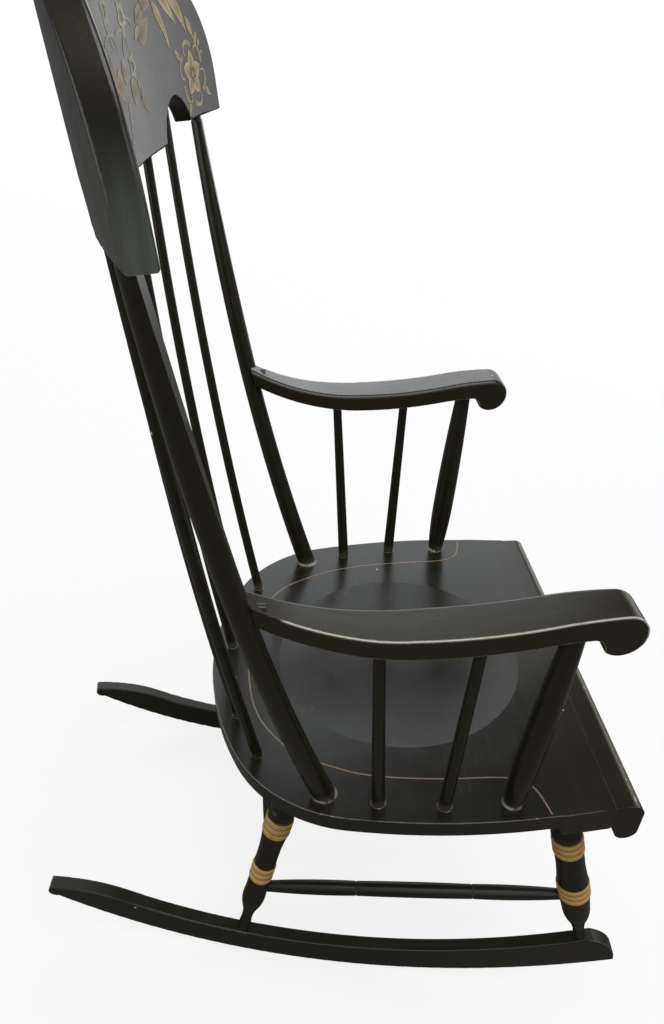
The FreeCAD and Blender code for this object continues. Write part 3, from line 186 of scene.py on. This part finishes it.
class OldPaint(Finish):
    """Old black paint under a worn varnish. Its masks are named for what they show and can be changed
    before dress() joins them up."""

    def __init__(self, name, turned=SEAT, grain=(70.0, 70.0, 5.0), black=BLACK, olive=OLIVE,
                 reach=0.0022):
        super().__init__(name)
        self.at = self.place(turned)
        self.x, self.y, self.z = self.axes(self.at)
        self.drift = self.noise(self.at, 7.0, 2.0)
        self.brush = self.noise(self.vector("MULTIPLY", self.at, grain), 1.0, 4.0, 0.6)
        self.fine = self.noise(self.at, 240.0, 3.0, 0.7)
        self.ragged = self.noise(self.at, 75.0, 5.0, 0.72)
        self.patches = self.noise(self.at, 16.0, 3.0, 0.6)
        self.normal = self.node("ShaderNodeNewGeometry", output="Normal")
        self.rounded = self.node("ShaderNodeBevel", {"samples": 6}, {"Radius": reach})
        self.edge = 1 - self.dot(self.rounded, self.normal)
        self.base = self.mix((self.drift * 0.7 + self.brush * 0.45).above(0.30, 0.30), black, olive)
        self.gloss = 0.0
        self.chips = self.flecks(38.0, 0.90, 0.55)

    def facing(self, x, y, z):
        """How far the rounded-over surface faces a direction of the seat frame."""
        return self.dot(self.rounded, SEAT.to_3x3() @ Vector((x, y, z)))

    def flecks(self, scale, rarity, size):
        """Small chips in a few of many cells, each of its own size."""
        shifted = self.vector("ADD", self.at, self.vector("MULTIPLY", self.fine, (0.0016, 0.0012, 0.0014)))
        distance = self.node("ShaderNodeTexVoronoi", {"feature": "F1"}, {"Vector": shifted, "Scale": scale})
        chance = self.axes(distance.output("Color"))[0]
        return ((chance - rarity) * size - distance).above(0.0, 0.006)

    def over(self, mask, tone):
        self.base = self.mix(mask, self.base, tone)

    def wear(self, strength, undercoat=UNDERCOAT, wood=BARE_WOOD):
        """Edges rubbed through to the undercoat, and to the wood where they stand out most."""
        rubbed_and_sheen = (self.edge * strength).clamped() * 0.62 + self.ragged * 0.62 + self.patches * 0.30
        self.over(rubbed_and_sheen.above(0.84, 0.06), undercoat)
        self.over(rubbed_and_sheen.above(0.95, 0.05), wood)
        return rubbed_and_sheen

    def dress(self, roughness, relief=1.0):
        """Joins the masks up. Relief is how much of the brush strokes and grain can be felt."""
        self.over(self.chips, CHALK)
        rough = (roughness + 0.16 * (self.patches - 0.5) + 0.10 * (self.fine - 0.5)
                 + 0.12 * (self.brush - 0.5) + 0.35 * self.chips + self.gloss)
        strokes = self.bump(self.brush, BRUSH_DEPTH, 0.30 * relief)
        grain = self.bump(self.fine, GRAIN_DEPTH, 0.22 * relief, strokes)
        self.set(Base_Color=self.base, Roughness=rough, Normal=grain, Specular_IOR_Level=0.5)
        return self


def dress_nodes(names, finish):
    for name in names:
        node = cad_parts[name]
        node.data.materials.clear()
        node.data.materials.append(finish.material)


def both(*names):
    return [name + side for name in names for side in ("_left", "_right")]


RIM_REACH = 0.0002


def end_points(name):
    """The middles of a turned piece's two ends, lower end first, and the line between them."""
    points = [vertex.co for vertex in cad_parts[name].data.vertices]
    far = max(points, key=lambda point: (point - points[0]).length)
    near = max(points, key=lambda point: (point - far).length)
    run = (near - far).normalized()
    ends = []
    for end, way in ((far, 1), (near, -1)):
        rim = [point for point in points if abs((point - end).dot(run)) < RIM_REACH]
        ends.append(sum(rim, Vector()) / len(rim))
    return sorted(ends, key=lambda end: end.z)


def turned_place(name):
    """A frame along a turned piece: origin at its lower end, Z along it."""
    low, high = end_points(name)
    turn = (high - low).to_track_quat("Z", "Y")
    return Matrix.Translation(low) @ turn.to_matrix().to_4x4()


# ---- seat and its rolled front

FRONT_EDGE = -0.235
PLANK_JOINT = (-0.318, -0.290)
BELOW_RIM = -0.0042


def make_seat_finish():
    paint = OldPaint("seat_paint", grain=(4.0, 60.0, 60.0), black=colour(0.0034, 0.0040, 0.0038),
                     olive=colour(0.0100, 0.0096, 0.0066))
    front = paint.y.below(FRONT_EDGE, 0.05)
    paint.over(front * 0.6, colour(0.0150, 0.0110, 0.0038))
    up = paint.facing(0, 0, 1)
    seam = paint.y.between(*PLANK_JOINT, 0.003) * up.above(0.5, 0.2)
    paint.edge = paint.edge * (1 - seam)
    rim = up.between(0.30, 0.955, 0.05) * paint.z.above(BELOW_RIM, 0.0006) * (1 - seam)
    rim = rim * (1 - 0.6 * front)
    paint.edge = paint.edge * (1 - 0.5 * front)
    paint.wear(2.2)
    broken = paint.ragged * 0.6 + paint.patches * 0.6
    paint.over(rim * broken.above(0.52, 0.07) * 0.75, colour(0.30, 0.255, 0.175))
    paint.over(rim * paint.ragged.above(0.62, 0.03), CHALK)
    on_top = up.above(0.97, 0.02)
    hairline = 0.0
    for turn, scale in ((0.9, (18.0, 760.0, 1.0)), (-0.55, (22.0, 820.0, 1.0))):
        turned = paint.node("ShaderNodeMapping", {"vector_type": "POINT"},
                            {"Vector": paint.at, "Rotation": (0.0, 0.0, turn), "Scale": scale})
        scratch = paint.noise(turned, 1.0, 0.0).above(0.80, 0.015) * paint.patches.above(0.60, 0.03)
        hairline = scratch * on_top + hairline
    paint.over(hairline * 0.16, colour(0.10, 0.095, 0.085))
    paint.gloss = hairline * 0.15
    return paint.dress(0.23, 0.5)


dress_nodes(["seat", "front_roll"], make_seat_finish())


# ---- back, arms and what carries them

SPINDLE_COUNT = 6
ARM_WEAR_ENDS = 0.036


def make_frame_finish():
    paint = OldPaint("frame_paint", black=colour(0.0075, 0.0090, 0.0075))
    paint.wear(2.0)
    foot = paint.z.between(0.0, 0.0042, 0.0006) * paint.ragged.above(0.44, 0.05)
    paint.over(foot * 0.95, CHALK)
    foot_dust = paint.z.between(0.0, 0.011, 0.004) * paint.patches.above(0.42, 0.12)
    paint.over(foot_dust * 0.35, DUST)
    return paint.dress(0.29)


def make_spindle_finish():
    paint = OldPaint("spindle_paint", black=colour(0.0070, 0.0090, 0.0078))
    paint.wear(1.5)
    foot_dust = paint.z.between(0.0, 0.009, 0.004) * paint.patches.above(0.38, 0.12)
    paint.over(foot_dust * 0.5, DUST)
    return paint.dress(0.29)


def make_arm_finish():
    paint = OldPaint("arm_paint", grain=(60.0, 5.0, 60.0), olive=colour(0.0165, 0.0130, 0.0052),
                     reach=0.0034)
    clear_of_post = paint.y.below(ARM_WEAR_ENDS, 0.004)
    paint.edge = paint.edge * clear_of_post
    paint.wear(2.0)
    side = paint.x.sign()
    outward = paint.facing(1, 0, 0) * side
    upward = paint.facing(0, -0.45, 0.90)
    line = outward.between(0.14, 0.93, 0.03) * upward.above(0.15, 0.08) * clear_of_post
    fresh = paint.ragged * 0.55 + paint.patches * 0.45
    paint.over(line * fresh.above(0.32, 0.06), colour(0.46, 0.40, 0.29))
    paint.over(line * fresh.above(0.40, 0.05), CHALK)
    return paint.dress(0.26)


dress_nodes(both("back_post", "arm_post"), make_frame_finish())
dress_nodes(both("arm_spindle_front", "arm_spindle_rear")
            + ["back_spindle_%d" % (index + 1) for index in range(SPINDLE_COUNT)], make_spindle_finish())
dress_nodes(both("arm"), make_arm_finish())


# ---- crest rail

def make_crest_finish():
    paint = OldPaint("crest_paint", grain=(6.0, 75.0, 75.0), black=colour(0.0050, 0.0052, 0.0052),
                     olive=colour(0.0120, 0.0112, 0.0085))
    side = paint.x.sign()
    # Painted sheen on the rail's end faces: low down, a pale grey-green streaked along the brush strokes,
    # and near the top, a warm brown painted light.
    end = (paint.facing(1, 0, 0) * side).above(0.62, 0.12)
    strokes = paint.noise(paint.vector("MULTIPLY", paint.at, (90.0, 160.0, 6.0)), 1.0, 4.0, 0.65)
    rubbed_and_sheen = paint.mix(strokes, colour(0.026, 0.032, 0.026), colour(0.170, 0.190, 0.160))
    paint.over(end * paint.z.below(0.606, 0.028) * 0.85, rubbed_and_sheen)
    paint.over(end * paint.z.above(0.640, 0.020) * 0.5, colour(0.034, 0.028, 0.017))
    paint.wear(1.6)
    return paint.dress(0.26)


dress_nodes(["crest_rail"], make_crest_finish())


# ---- legs, stretchers and rockers

BAND_HEIGHT = 0.027
RING_HEIGHT = 0.009
TENON_BELOW = 0.019
LEG_BANDS = {"front": (0.101, 0.182), "rear": (0.113, 0.195)}


def make_leg_finish(row, side):
    name = "leg_%s_%s" % (row, side)
    paint = OldPaint(name + "_paint", turned_place(name), grain=(60.0, 60.0, 6.0))
    paint.wear(2.0)
    for middle in LEG_BANDS[row]:
        low = TENON_BELOW + middle - BAND_HEIGHT / 2
        band = paint.z.between(low, low + BAND_HEIGHT, 0.0004)
        ring = ((paint.z - low) / RING_HEIGHT).fraction()
        groove = abs(ring - 0.5).above(0.43, 0.05)
        grime = (paint.ragged * 0.7 + paint.patches * 0.5).above(0.70, 0.06)
        gold = paint.mix(paint.ragged, colour(0.46, 0.265, 0.060), colour(0.74, 0.50, 0.19))
        gold = paint.mix(groove * 0.8, gold, colour(0.20, 0.10, 0.028))
        gold = paint.mix(grime * 0.5, gold, colour(0.10, 0.065, 0.025))
        paint.over(band, gold)
        paint.gloss = paint.gloss + band * 0.10
    return paint.dress(0.34)


for row in LEG_BANDS:
    for side in ("left", "right"):
        dress_nodes(["leg_%s_%s" % (row, side)], make_leg_finish(row, side))


ROCKER_HEEL = 0.318
ROCKER_TOE = -0.384


def make_base_finish(name, grain):
    paint = OldPaint(name, grain=grain, olive=colour(0.0115, 0.0105, 0.0040))
    rubbed_and_sheen = paint.wear(2.6)
    ends = paint.y.above(ROCKER_HEEL, 0.006).most(paint.y.below(ROCKER_TOE, 0.004))
    paint.over(ends * rubbed_and_sheen.above(0.62, 0.04), colour(0.26, 0.19, 0.10))
    paint.over(ends * rubbed_and_sheen.above(0.74, 0.04), CHALK)
    return paint.dress(0.40)


dress_nodes(both("rocker", "side_stretcher"), make_base_finish("rocker_paint", (60.0, 5.0, 60.0)))
dress_nodes(["front_stretcher", "rear_stretcher"],
            make_base_finish("cross_stretcher_paint", (5.0, 60.0, 60.0)))


# ---- painted lines and the stencilled rail

class Tree:
    """A Geometry Nodes tree under construction, with named inputs for its sizes."""

    def __init__(self, name, **inputs):
        self.group = bpy.data.node_groups.new(name, "GeometryNodeTree")
        self.group.interface.new_socket("Geometry", in_out="INPUT", socket_type="NodeSocketGeometry")
        self.keys = {}
        for title, kind in inputs.items():
            socket = self.group.interface.new_socket(title, in_out="INPUT", socket_type=kind)
            self.keys[title] = socket.identifier
        self.group.interface.new_socket("Geometry", in_out="OUTPUT", socket_type="NodeSocketGeometry")
        self.given = self.group.nodes.new("NodeGroupInput").outputs

    def node(self, kind, settings=None, values=None, output=0):
        node = self.group.nodes.new(kind)
        for name, setting in (settings or {}).items():
            setattr(node, name, setting)
        for key, value in (values or {}).items():
            if isinstance(value, bpy.types.NodeSocket):
                self.group.links.new(value, node.inputs[key])
            else:
                node.inputs[key].default_value = value
        return node.outputs[output]

    def end(self, mesh, material):
        real = self.node("GeometryNodeRealizeInstances", values={"Geometry": mesh})
        made = self.node("GeometryNodeSetMaterial", values={"Geometry": real, "Material": material})
        result = self.group.nodes.new("NodeGroupOutput")
        self.group.links.new(made, result.inputs["Geometry"])


BRUSH_POINTS = 4
FILM_LIFT = 0.00025
THINNEST = 0.0003


def stroke_tree(name, into, material):
    """Lays each stroke of a curve on a surface as a film. A point's radius is half the stroke's width,
    and what misses the surface is left out."""
    tree = Tree(name, Surface="NodeSocketObject", Step="NodeSocketFloat", Lift="NodeSocketFloat")
    into = SEAT.to_3x3() @ Vector(into)
    line = tree.node("GeometryNodeResampleCurve", {"mode": "LENGTH"},
                     {"Curve": tree.given["Geometry"], "Length": tree.given["Step"]})
    along = tree.node("GeometryNodeSplineParameter")
    line = tree.node("GeometryNodeStoreNamedAttribute", {"data_type": "FLOAT", "domain": "POINT"},
                     {"Geometry": line, "Name": "along", "Value": along})
    line = tree.node("GeometryNodeSetCurveNormal", {"mode": "FREE"}, {"Curve": line, "Normal": into})
    brush = tree.node("GeometryNodeCurvePrimitiveLine", values={"Start": (0, -1, 0), "End": (0, 1, 0)})
    brush = tree.node("GeometryNodeResampleCurve", {"mode": "COUNT"},
                      {"Curve": brush, "Count": BRUSH_POINTS})
    across = tree.node("GeometryNodeSplineParameter")
    brush = tree.node("GeometryNodeStoreNamedAttribute", {"data_type": "FLOAT", "domain": "POINT"},
                      {"Geometry": brush, "Name": "across", "Value": across})
    film = tree.node("GeometryNodeCurveToMesh",
                     values={"Curve": line, "Profile Curve": brush,
                             "Scale": tree.node("GeometryNodeInputRadius")})
    target = tree.node("GeometryNodeObjectInfo", values={"Object": tree.given["Surface"]},
                       output="Geometry")
    hit = tree.node("GeometryNodeRaycast",
                    values={"Target Geometry": target, "Ray Direction": into, "Ray Length": 1.0},
                    output="Hit Position")
    raised = tree.node("ShaderNodeVectorMath", {"operation": "SCALE"},
                       {0: -into, "Scale": tree.given["Lift"]})
    spot = tree.node("ShaderNodeVectorMath", {"operation": "ADD"}, {0: hit, 1: raised})
    missed = tree.node("FunctionNodeBooleanMath", {"operation": "NOT"}, {0: hit.node.outputs["Is Hit"]})
    film = tree.node("GeometryNodeDeleteGeometry", {"domain": "POINT"},
                     {"Geometry": film, "Selection": missed})
    tree.end(tree.node("GeometryNodeSetPosition", values={"Geometry": film, "Position": spot}), material)
    return tree


def paint_strokes(name, strokes, point, into, surface, material, step):
    """Strokes are lists of (across, up, half width); point() gives each its place in the seat frame."""
    curve = bpy.data.curves.new(name, "CURVE")
    curve.dimensions = "3D"
    for stroke in strokes:
        spline = curve.splines.new("NURBS")
        spline.points.add(len(stroke) - 1)
        for knot, (first, second, half) in zip(spline.points, stroke):
            knot.co = (*(SEAT @ Vector(point(first, second))), 1.0)
            knot.radius = half
        spline.order_u = 3
        spline.use_endpoint_u = True
    drawn = bpy.data.objects.new(name + "_lines", curve)
    bpy.context.scene.collection.objects.link(drawn)
    tree = stroke_tree(name + "_film", into, material)
    modifier = drawn.modifiers.new("film", "NODES")
    modifier.node_group = tree.group
    modifier[tree.keys["Surface"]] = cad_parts[surface]
    modifier[tree.keys["Step"]] = step
    modifier[tree.keys["Lift"]] = FILM_LIFT
    bpy.context.view_layer.update()
    evaluated = drawn.evaluated_get(bpy.context.evaluated_depsgraph_get())
    mesh = bpy.data.meshes.new_from_object(evaluated)
    bpy.data.objects.remove(drawn)
    outwards = SEAT.to_3x3() @ -Vector(into)
    if sum(polygon.normal.dot(outwards) for polygon in mesh.polygons) < 0:
        mesh.flip_normals()
    piece = bpy.data.objects.new(name, mesh)
    bpy.context.scene.collection.objects.link(piece)
    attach(piece, "root")


def powder(name, bright, dark, missing):
    """Bronze powder rubbed on through a stencil: bright at the rim of each stroke, thin in the middle."""
    finish = Finish(name)
    at = finish.place(SEAT)
    across = finish.node("ShaderNodeAttribute", {"attribute_name": "across"}, output="Fac")
    along = finish.node("ShaderNodeAttribute", {"attribute_name": "along"}, output="Fac")
    grains = finish.noise(at, 900.0, 3.0, 0.7)
    cloud = finish.noise(at, 55.0, 4.0, 0.6)
    rim = abs(across - 0.5) * 1.5 + (along - 0.35) * 0.5
    shine = (rim * 0.8 + cloud * 0.8 + grains * 0.3 - 0.55).clamped()
    finish.set(Base_Color=finish.mix(shine, dark, bright), Metallic=shine * 0.45,
               Roughness=0.52 - 0.12 * cloud, Specular_IOR_Level=0.5,
               Alpha=(cloud * 0.6 + grains * 0.4 + shine * 0.25).above(missing, 0.07))
    return finish.material


def leaf(x, z, angle, length, width, bend=0.0):
    """A pointed leaf from its stalk: the angle is from the rail's length, the bend turns it on its way."""
    steps, points = 9, []
    for step in range(steps + 1):
        share = step / steps
        half = width / 2 * math.sin(math.pi * share ** 0.75)
        points.append((x, z, max(half, THINNEST)))
        way = math.radians(angle + bend * share)
        x += length / steps * math.cos(way)
        z += length / steps * math.sin(way)
    return points


def scroll(x, z, angle, length, width, curl):
    """A thin tendril that curls tighter towards its tip."""
    steps, points = 16, []
    for step in range(steps + 1):
        share = step / steps
        points.append((x, z, width / 2 * (1.0 - 0.75 * share)))
        way = math.radians(angle + curl * share * share)
        x += length / steps * math.cos(way)
        z += length / steps * math.sin(way)
    return points


def berry(x, z, radius):
    steps = 8
    return [(x + radius * (2 * step / steps - 1), z,
             max(radius * math.sqrt(max(1 - (2 * step / steps - 1) ** 2, 0)), THINNEST))
            for step in range(steps + 1)]


def blossom(x, z, reach, petals, turn=0.0):
    """Petals round an open eye with a berry in it."""
    drawn = []
    for petal in range(petals):
        angle = turn + 360.0 * petal / petals
        way = math.radians(angle)
        eye = reach * 0.22
        drawn.append(leaf(x + eye * math.cos(way), z + eye * math.sin(way), angle,
                          reach - eye, reach * 0.70))
    return drawn + [berry(x, z, reach * 0.13)]


def mirrored(strokes):
    return strokes + [[(-x, z, half) for x, z, half in stroke] for stroke in strokes]


ROSETTE = (0.262, 0.604)


def stencil_gold():
    """Rosettes in rings of scrolls at the rail's ends, with leaf sprays above them."""
    x, z = ROSETTE
    drawn = blossom(x, z, 0.0215, 5, 90.0)
    for turn in range(6):
        way = math.radians(60.0 * turn + 20.0)
        drawn.append(scroll(x + 0.0265 * math.cos(way), z + 0.0250 * math.sin(way), 60.0 * turn + 95.0,
                            0.030, 0.0048, 200.0))
    for turn in range(4):
        way = math.radians(90.0 * turn + 62.0)
        drawn.append(leaf(x + 0.0300 * math.cos(way), z + 0.0275 * math.sin(way), 90.0 * turn + 40.0,
                          0.015, 0.0060, 30.0))
    for start, height, angle, length, width, bend in (
            (0.192, 0.680, -24, 0.058, 0.0150, -24), (0.218, 0.682, -36, 0.048, 0.0115, -20),
            (0.184, 0.666, -38, 0.044, 0.0110, -20), (0.243, 0.668, -50, 0.034, 0.0095, -14),
            (0.264, 0.653, -50, 0.024, 0.0080, -12), (0.202, 0.651, -52, 0.026, 0.0080, -30)):
        drawn.append(leaf(start, height, angle, length, width, bend))
    drawn += [berry(0.287, 0.630, 0.0028), berry(0.282, 0.637, 0.0024), berry(0.291, 0.622, 0.0022)]
    return mirrored(drawn)


def stencil_pale():
    """Small flowers, bell drops and twigs round the middle of the rail."""
    drawn = blossom(0.036, 0.662, 0.0125, 5, 18.0) + blossom(0.090, 0.657, 0.0125, 5, 54.0)
    drawn += blossom(0.096, 0.622, 0.0110, 5, 0.0)
    for start, height, angle, length, curl in (
            (0.012, 0.640, 20, 0.052, -95), (0.030, 0.652, -60, 0.030, 110), (0.060, 0.646, 12, 0.044, -120),
            (0.075, 0.630, 70, 0.026, -120), (0.118, 0.650, 150, 0.030, 100)):
        drawn.append(scroll(start, height, angle, length, 0.0028, curl))
    for step in range(4):
        drawn.append(leaf(0.060 - 0.0045 * step, 0.598 - 0.0080 * step, -112, 0.0090 - 0.0008 * step,
                          0.0080 - 0.0010 * step))
    for start, height, angle, length, width, bend in (
            (0.104, 0.612, -75, 0.022, 0.0070, 25), (0.120, 0.640, 25, 0.020, 0.0060, 20),
            (0.010, 0.690, 60, 0.024, 0.0080, -30), (0.046, 0.690, 20, 0.030, 0.0085, -30),
            (0.092, 0.686, 5, 0.030, 0.0085, -25), (0.135, 0.682, -5, 0.028, 0.0080, -25)):
        drawn.append(leaf(start, height, angle, length, width, bend))
    return mirrored(drawn)


def stencil_copper():
    """Fruit and broad leaves in the middle, dulled most by the years."""
    drawn = [berry(0.044, 0.612, 0.0110), berry(0.086, 0.604, 0.0100), berry(0.066, 0.620, 0.0090)]
    for start, height, angle, length, width, bend in (
            (0.128, 0.640, 8, 0.044, 0.0170, 30), (0.130, 0.652, 25, 0.036, 0.0120, -20),
            (0.020, 0.634, -70, 0.038, 0.0150, 20), (0.104, 0.606, -55, 0.030, 0.0110, 20),
            (0.150, 0.662, 20, 0.032, 0.0120, -40), (0.006, 0.668, 80, 0.030, 0.0120, -25)):
        drawn.append(leaf(start, height, angle, length, width, bend))
    return mirrored(drawn + [berry(0.0, 0.632, 0.0125)])


BEFORE_RAIL = -0.05
ABOVE_SEAT = 0.10


def on_rail(x, z):
    """In front of the crest rail, whose face looks forward."""
    return x, BEFORE_RAIL, z


def on_seat(x, y):
    """Over the seat's top."""
    return x, y, ABOVE_SEAT


INTO_RAIL = (0, 1, 0)
INTO_SEAT = (0, 0, -1)
RAIL_STEP = 0.0016
SEAT_STEP = 0.004
STENCILS = (
    ("crest_stencil_gold", stencil_gold, colour(0.64, 0.54, 0.31), colour(0.21, 0.16, 0.08), 0.26),
    ("crest_stencil_pale", stencil_pale, colour(0.56, 0.50, 0.37), colour(0.19, 0.16, 0.11), 0.30),
    ("crest_stencil_copper", stencil_copper, colour(0.40, 0.30, 0.19), colour(0.11, 0.080, 0.050), 0.33),
)
for name, strokes, bright, dark, missing in STENCILS:
    paint_strokes(name, strokes(), on_rail, INTO_RAIL, "crest_rail",
                  powder(name, bright, dark, missing), RAIL_STEP)

LINE_HALF_WIDTH = 0.0008
SEAT_LINE = ((0.0, 0.084), (0.062, 0.080), (0.103, 0.068), (0.133, 0.047), (0.153, 0.030), (0.172, -0.007),
             (0.189, -0.049), (0.198, -0.129), (0.198, -0.197), (0.2065, -0.221), (0.225, -0.231),
             (0.249, -0.235))
whole_line = [(-x, y, LINE_HALF_WIDTH) for x, y in reversed(SEAT_LINE[1:])]
whole_line += [(x, y, LINE_HALF_WIDTH) for x, y in SEAT_LINE]
faded_red = powder("seat_line", colour(0.42, 0.27, 0.17), colour(0.20, 0.13, 0.08), 0.33)
paint_strokes("seat_line", [whole_line], on_seat, INTO_SEAT, "seat", faded_red, SEAT_STEP)


# ---- studio

class Surround(Finish):
    """A floor or world tree, with what it shows to each kind of ray."""

    def __init__(self, tree):
        self.tree = tree
        self.tree.nodes.clear()
        path = self.node("ShaderNodeLightPath", output="Is Camera Ray")
        self.clear_view = path.most(path.output("Is Transmission Ray"))
        self.mirrored = path.output("Is Glossy Ray")


FLOOR_REACH = 9.0
FLOOR_DROP = 0.0005
FLOOR_WHITE = 0.80
FLOOR_MIRRORED = 0.05


def add_floor():
    """A pale floor that fades into the white behind it. It keeps the chair's shadow, and the paint
    mirrors only a little of it."""
    reach = FLOOR_REACH
    mesh = bpy.data.meshes.new("floor")
    mesh.from_pydata([(-reach, -reach, 0), (reach, -reach, 0), (reach, reach, 0), (-reach, reach, 0)], [],
                     [(0, 1, 2, 3)])
    floor = bpy.data.objects.new("floor", mesh)
    bpy.context.scene.collection.objects.link(floor)
    floor.location = (0, 0, -FLOOR_DROP)
    material = bpy.data.materials.new("floor")
    material.use_nodes = True
    ground = Surround(material.node_tree)
    pale = ground.node("ShaderNodeBsdfDiffuse", values={"Color": colour(0.90, 0.90, 0.90)})
    white = ground.node("ShaderNodeEmission", values={"Color": colour(1, 1, 1), "Strength": 1.0})
    shown = ground.node("ShaderNodeMixShader", values=[FLOOR_WHITE, pale, white])
    grey = ground.node("ShaderNodeBsdfDiffuse", values={"Color": colour(0.13, 0.125, 0.11)})
    seen = ground.clear_view.most(ground.mirrored * FLOOR_MIRRORED)
    near = ground.node("ShaderNodeMixShader", values=[seen, grey, shown])
    away = ground.vector("MULTIPLY", ground.node("ShaderNodeTexCoord", output="Object"), (1, 1, 0))
    faded = ground.node("ShaderNodeVectorMath", {"operation": "LENGTH"}, [away], "Value").above(2.6, 1.5)
    clear = ground.node("ShaderNodeBsdfTransparent")
    output = ground.tree.nodes.new("ShaderNodeOutputMaterial")
    ground.put(output.inputs["Surface"], ground.node("ShaderNodeMixShader", values=[faded, near, clear]))
    mesh.materials.append(material)


AIR_LIGHT = 0.28
AIR_UNMIRRORED = 0.55


def add_world():
    """White where the camera sees it, dim as light, and dimmer still in the paint's reflections."""
    world = bpy.data.worlds.new("studio")
    world.use_nodes = True
    air = Surround(world.node_tree)
    strength = (air.clear_view * (1 - AIR_LIGHT) + AIR_LIGHT) * (1 - air.mirrored * AIR_UNMIRRORED)
    output = air.tree.nodes.new("ShaderNodeOutputWorld")
    air.put(output.inputs["Surface"],
            air.node("ShaderNodeBackground", values={"Color": colour(1, 1, 1), "Strength": strength}))
    bpy.context.scene.world = world


LIT_SPOT = Vector((0, -0.12, 0.05))
SOFTBOXES = (
    ("window", (0.77, 0.12, 0.62), 3.0, 3.5, 1.7, 1.45, (0.90, 0.96, 1.0)),
    ("far wall", (0.90, -0.30, 0.16), 3.4, 5.0, 1.9, 0.90, (0.97, 0.98, 1.0)),
    ("overhead", (-0.25, -0.20, 1.0), 2.8, 1.9, 1.9, 3.6, (1, 1, 1)),
    ("rear wall", (-0.30, 0.95, 0.30), 3.2, 2.8, 2.2, 1.5, (1, 1, 1)),
    ("near wall", (-0.85, -0.35, 0.52), 3.4, 2.6, 1.4, 1.2, (1, 1, 1)),
    ("front wall", (0.25, -1.0, 0.42), 3.4, 2.6, 1.6, 1.2, (1, 1, 1)),
)


def add_softbox(name, way, distance, width, height, radiance, tint):
    """A soft lamp looking at the seat from a direction of the seat frame."""
    data = bpy.data.lights.new(name, "AREA")
    data.shape = "RECTANGLE"
    data.size = width
    data.size_y = height
    data.energy = radiance * math.pi * width * height
    data.color = tint
    lamp = bpy.data.objects.new(name, data)
    target = SEAT @ LIT_SPOT
    place = SEAT @ (LIT_SPOT + Vector(way).normalized() * distance)
    turn = (place - target).to_track_quat("Z", "Y")
    lamp.matrix_world = Matrix.Translation(place) @ turn.to_matrix().to_4x4()
    lamp.visible_camera = False
    bpy.context.scene.collection.objects.link(lamp)


PICTURE_HEIGHT = 1024
AXIS_ROW = 580
FOCAL_PIXELS = 767.19
SENSOR_HEIGHT = 36.0
CAMERA_PLACE = Vector((-0.713, 0.034, 0.678))
CAMERA_YAW = -0.0780
CAMERA_PITCH = 0.658
CAMERA_ROLL = 0.013


def add_camera():
    """The photograph's view, found from the chair and given in the seat frame."""
    yaw, pitch, roll = CAMERA_YAW, CAMERA_PITCH, CAMERA_ROLL
    forward = Vector((math.cos(pitch) * math.cos(yaw), math.cos(pitch) * math.sin(yaw), -math.sin(pitch)))
    right = forward.cross(Vector((0, 0, 1))).normalized()
    up = right.cross(forward)
    turned_right = right * math.cos(roll) + up * math.sin(roll)
    turned_up = up * math.cos(roll) - right * math.sin(roll)
    matrix = Matrix((turned_right, turned_up, -forward)).transposed().to_4x4()
    matrix.translation = CAMERA_PLACE
    data = bpy.data.cameras.new("camera")
    data.sensor_fit = "VERTICAL"
    data.sensor_height = SENSOR_HEIGHT
    data.lens = FOCAL_PIXELS / PICTURE_HEIGHT * SENSOR_HEIGHT
    data.shift_y = (AXIS_ROW - PICTURE_HEIGHT / 2) / PICTURE_HEIGHT
    camera = bpy.data.objects.new("camera", data)
    camera.matrix_world = SEAT @ matrix
    bpy.context.scene.collection.objects.link(camera)
    bpy.context.scene.camera = camera


add_floor()
add_world()
for softbox in SOFTBOXES:
    add_softbox(*softbox)
add_camera()
bpy.context.scene.view_settings.view_transform = "Standard"
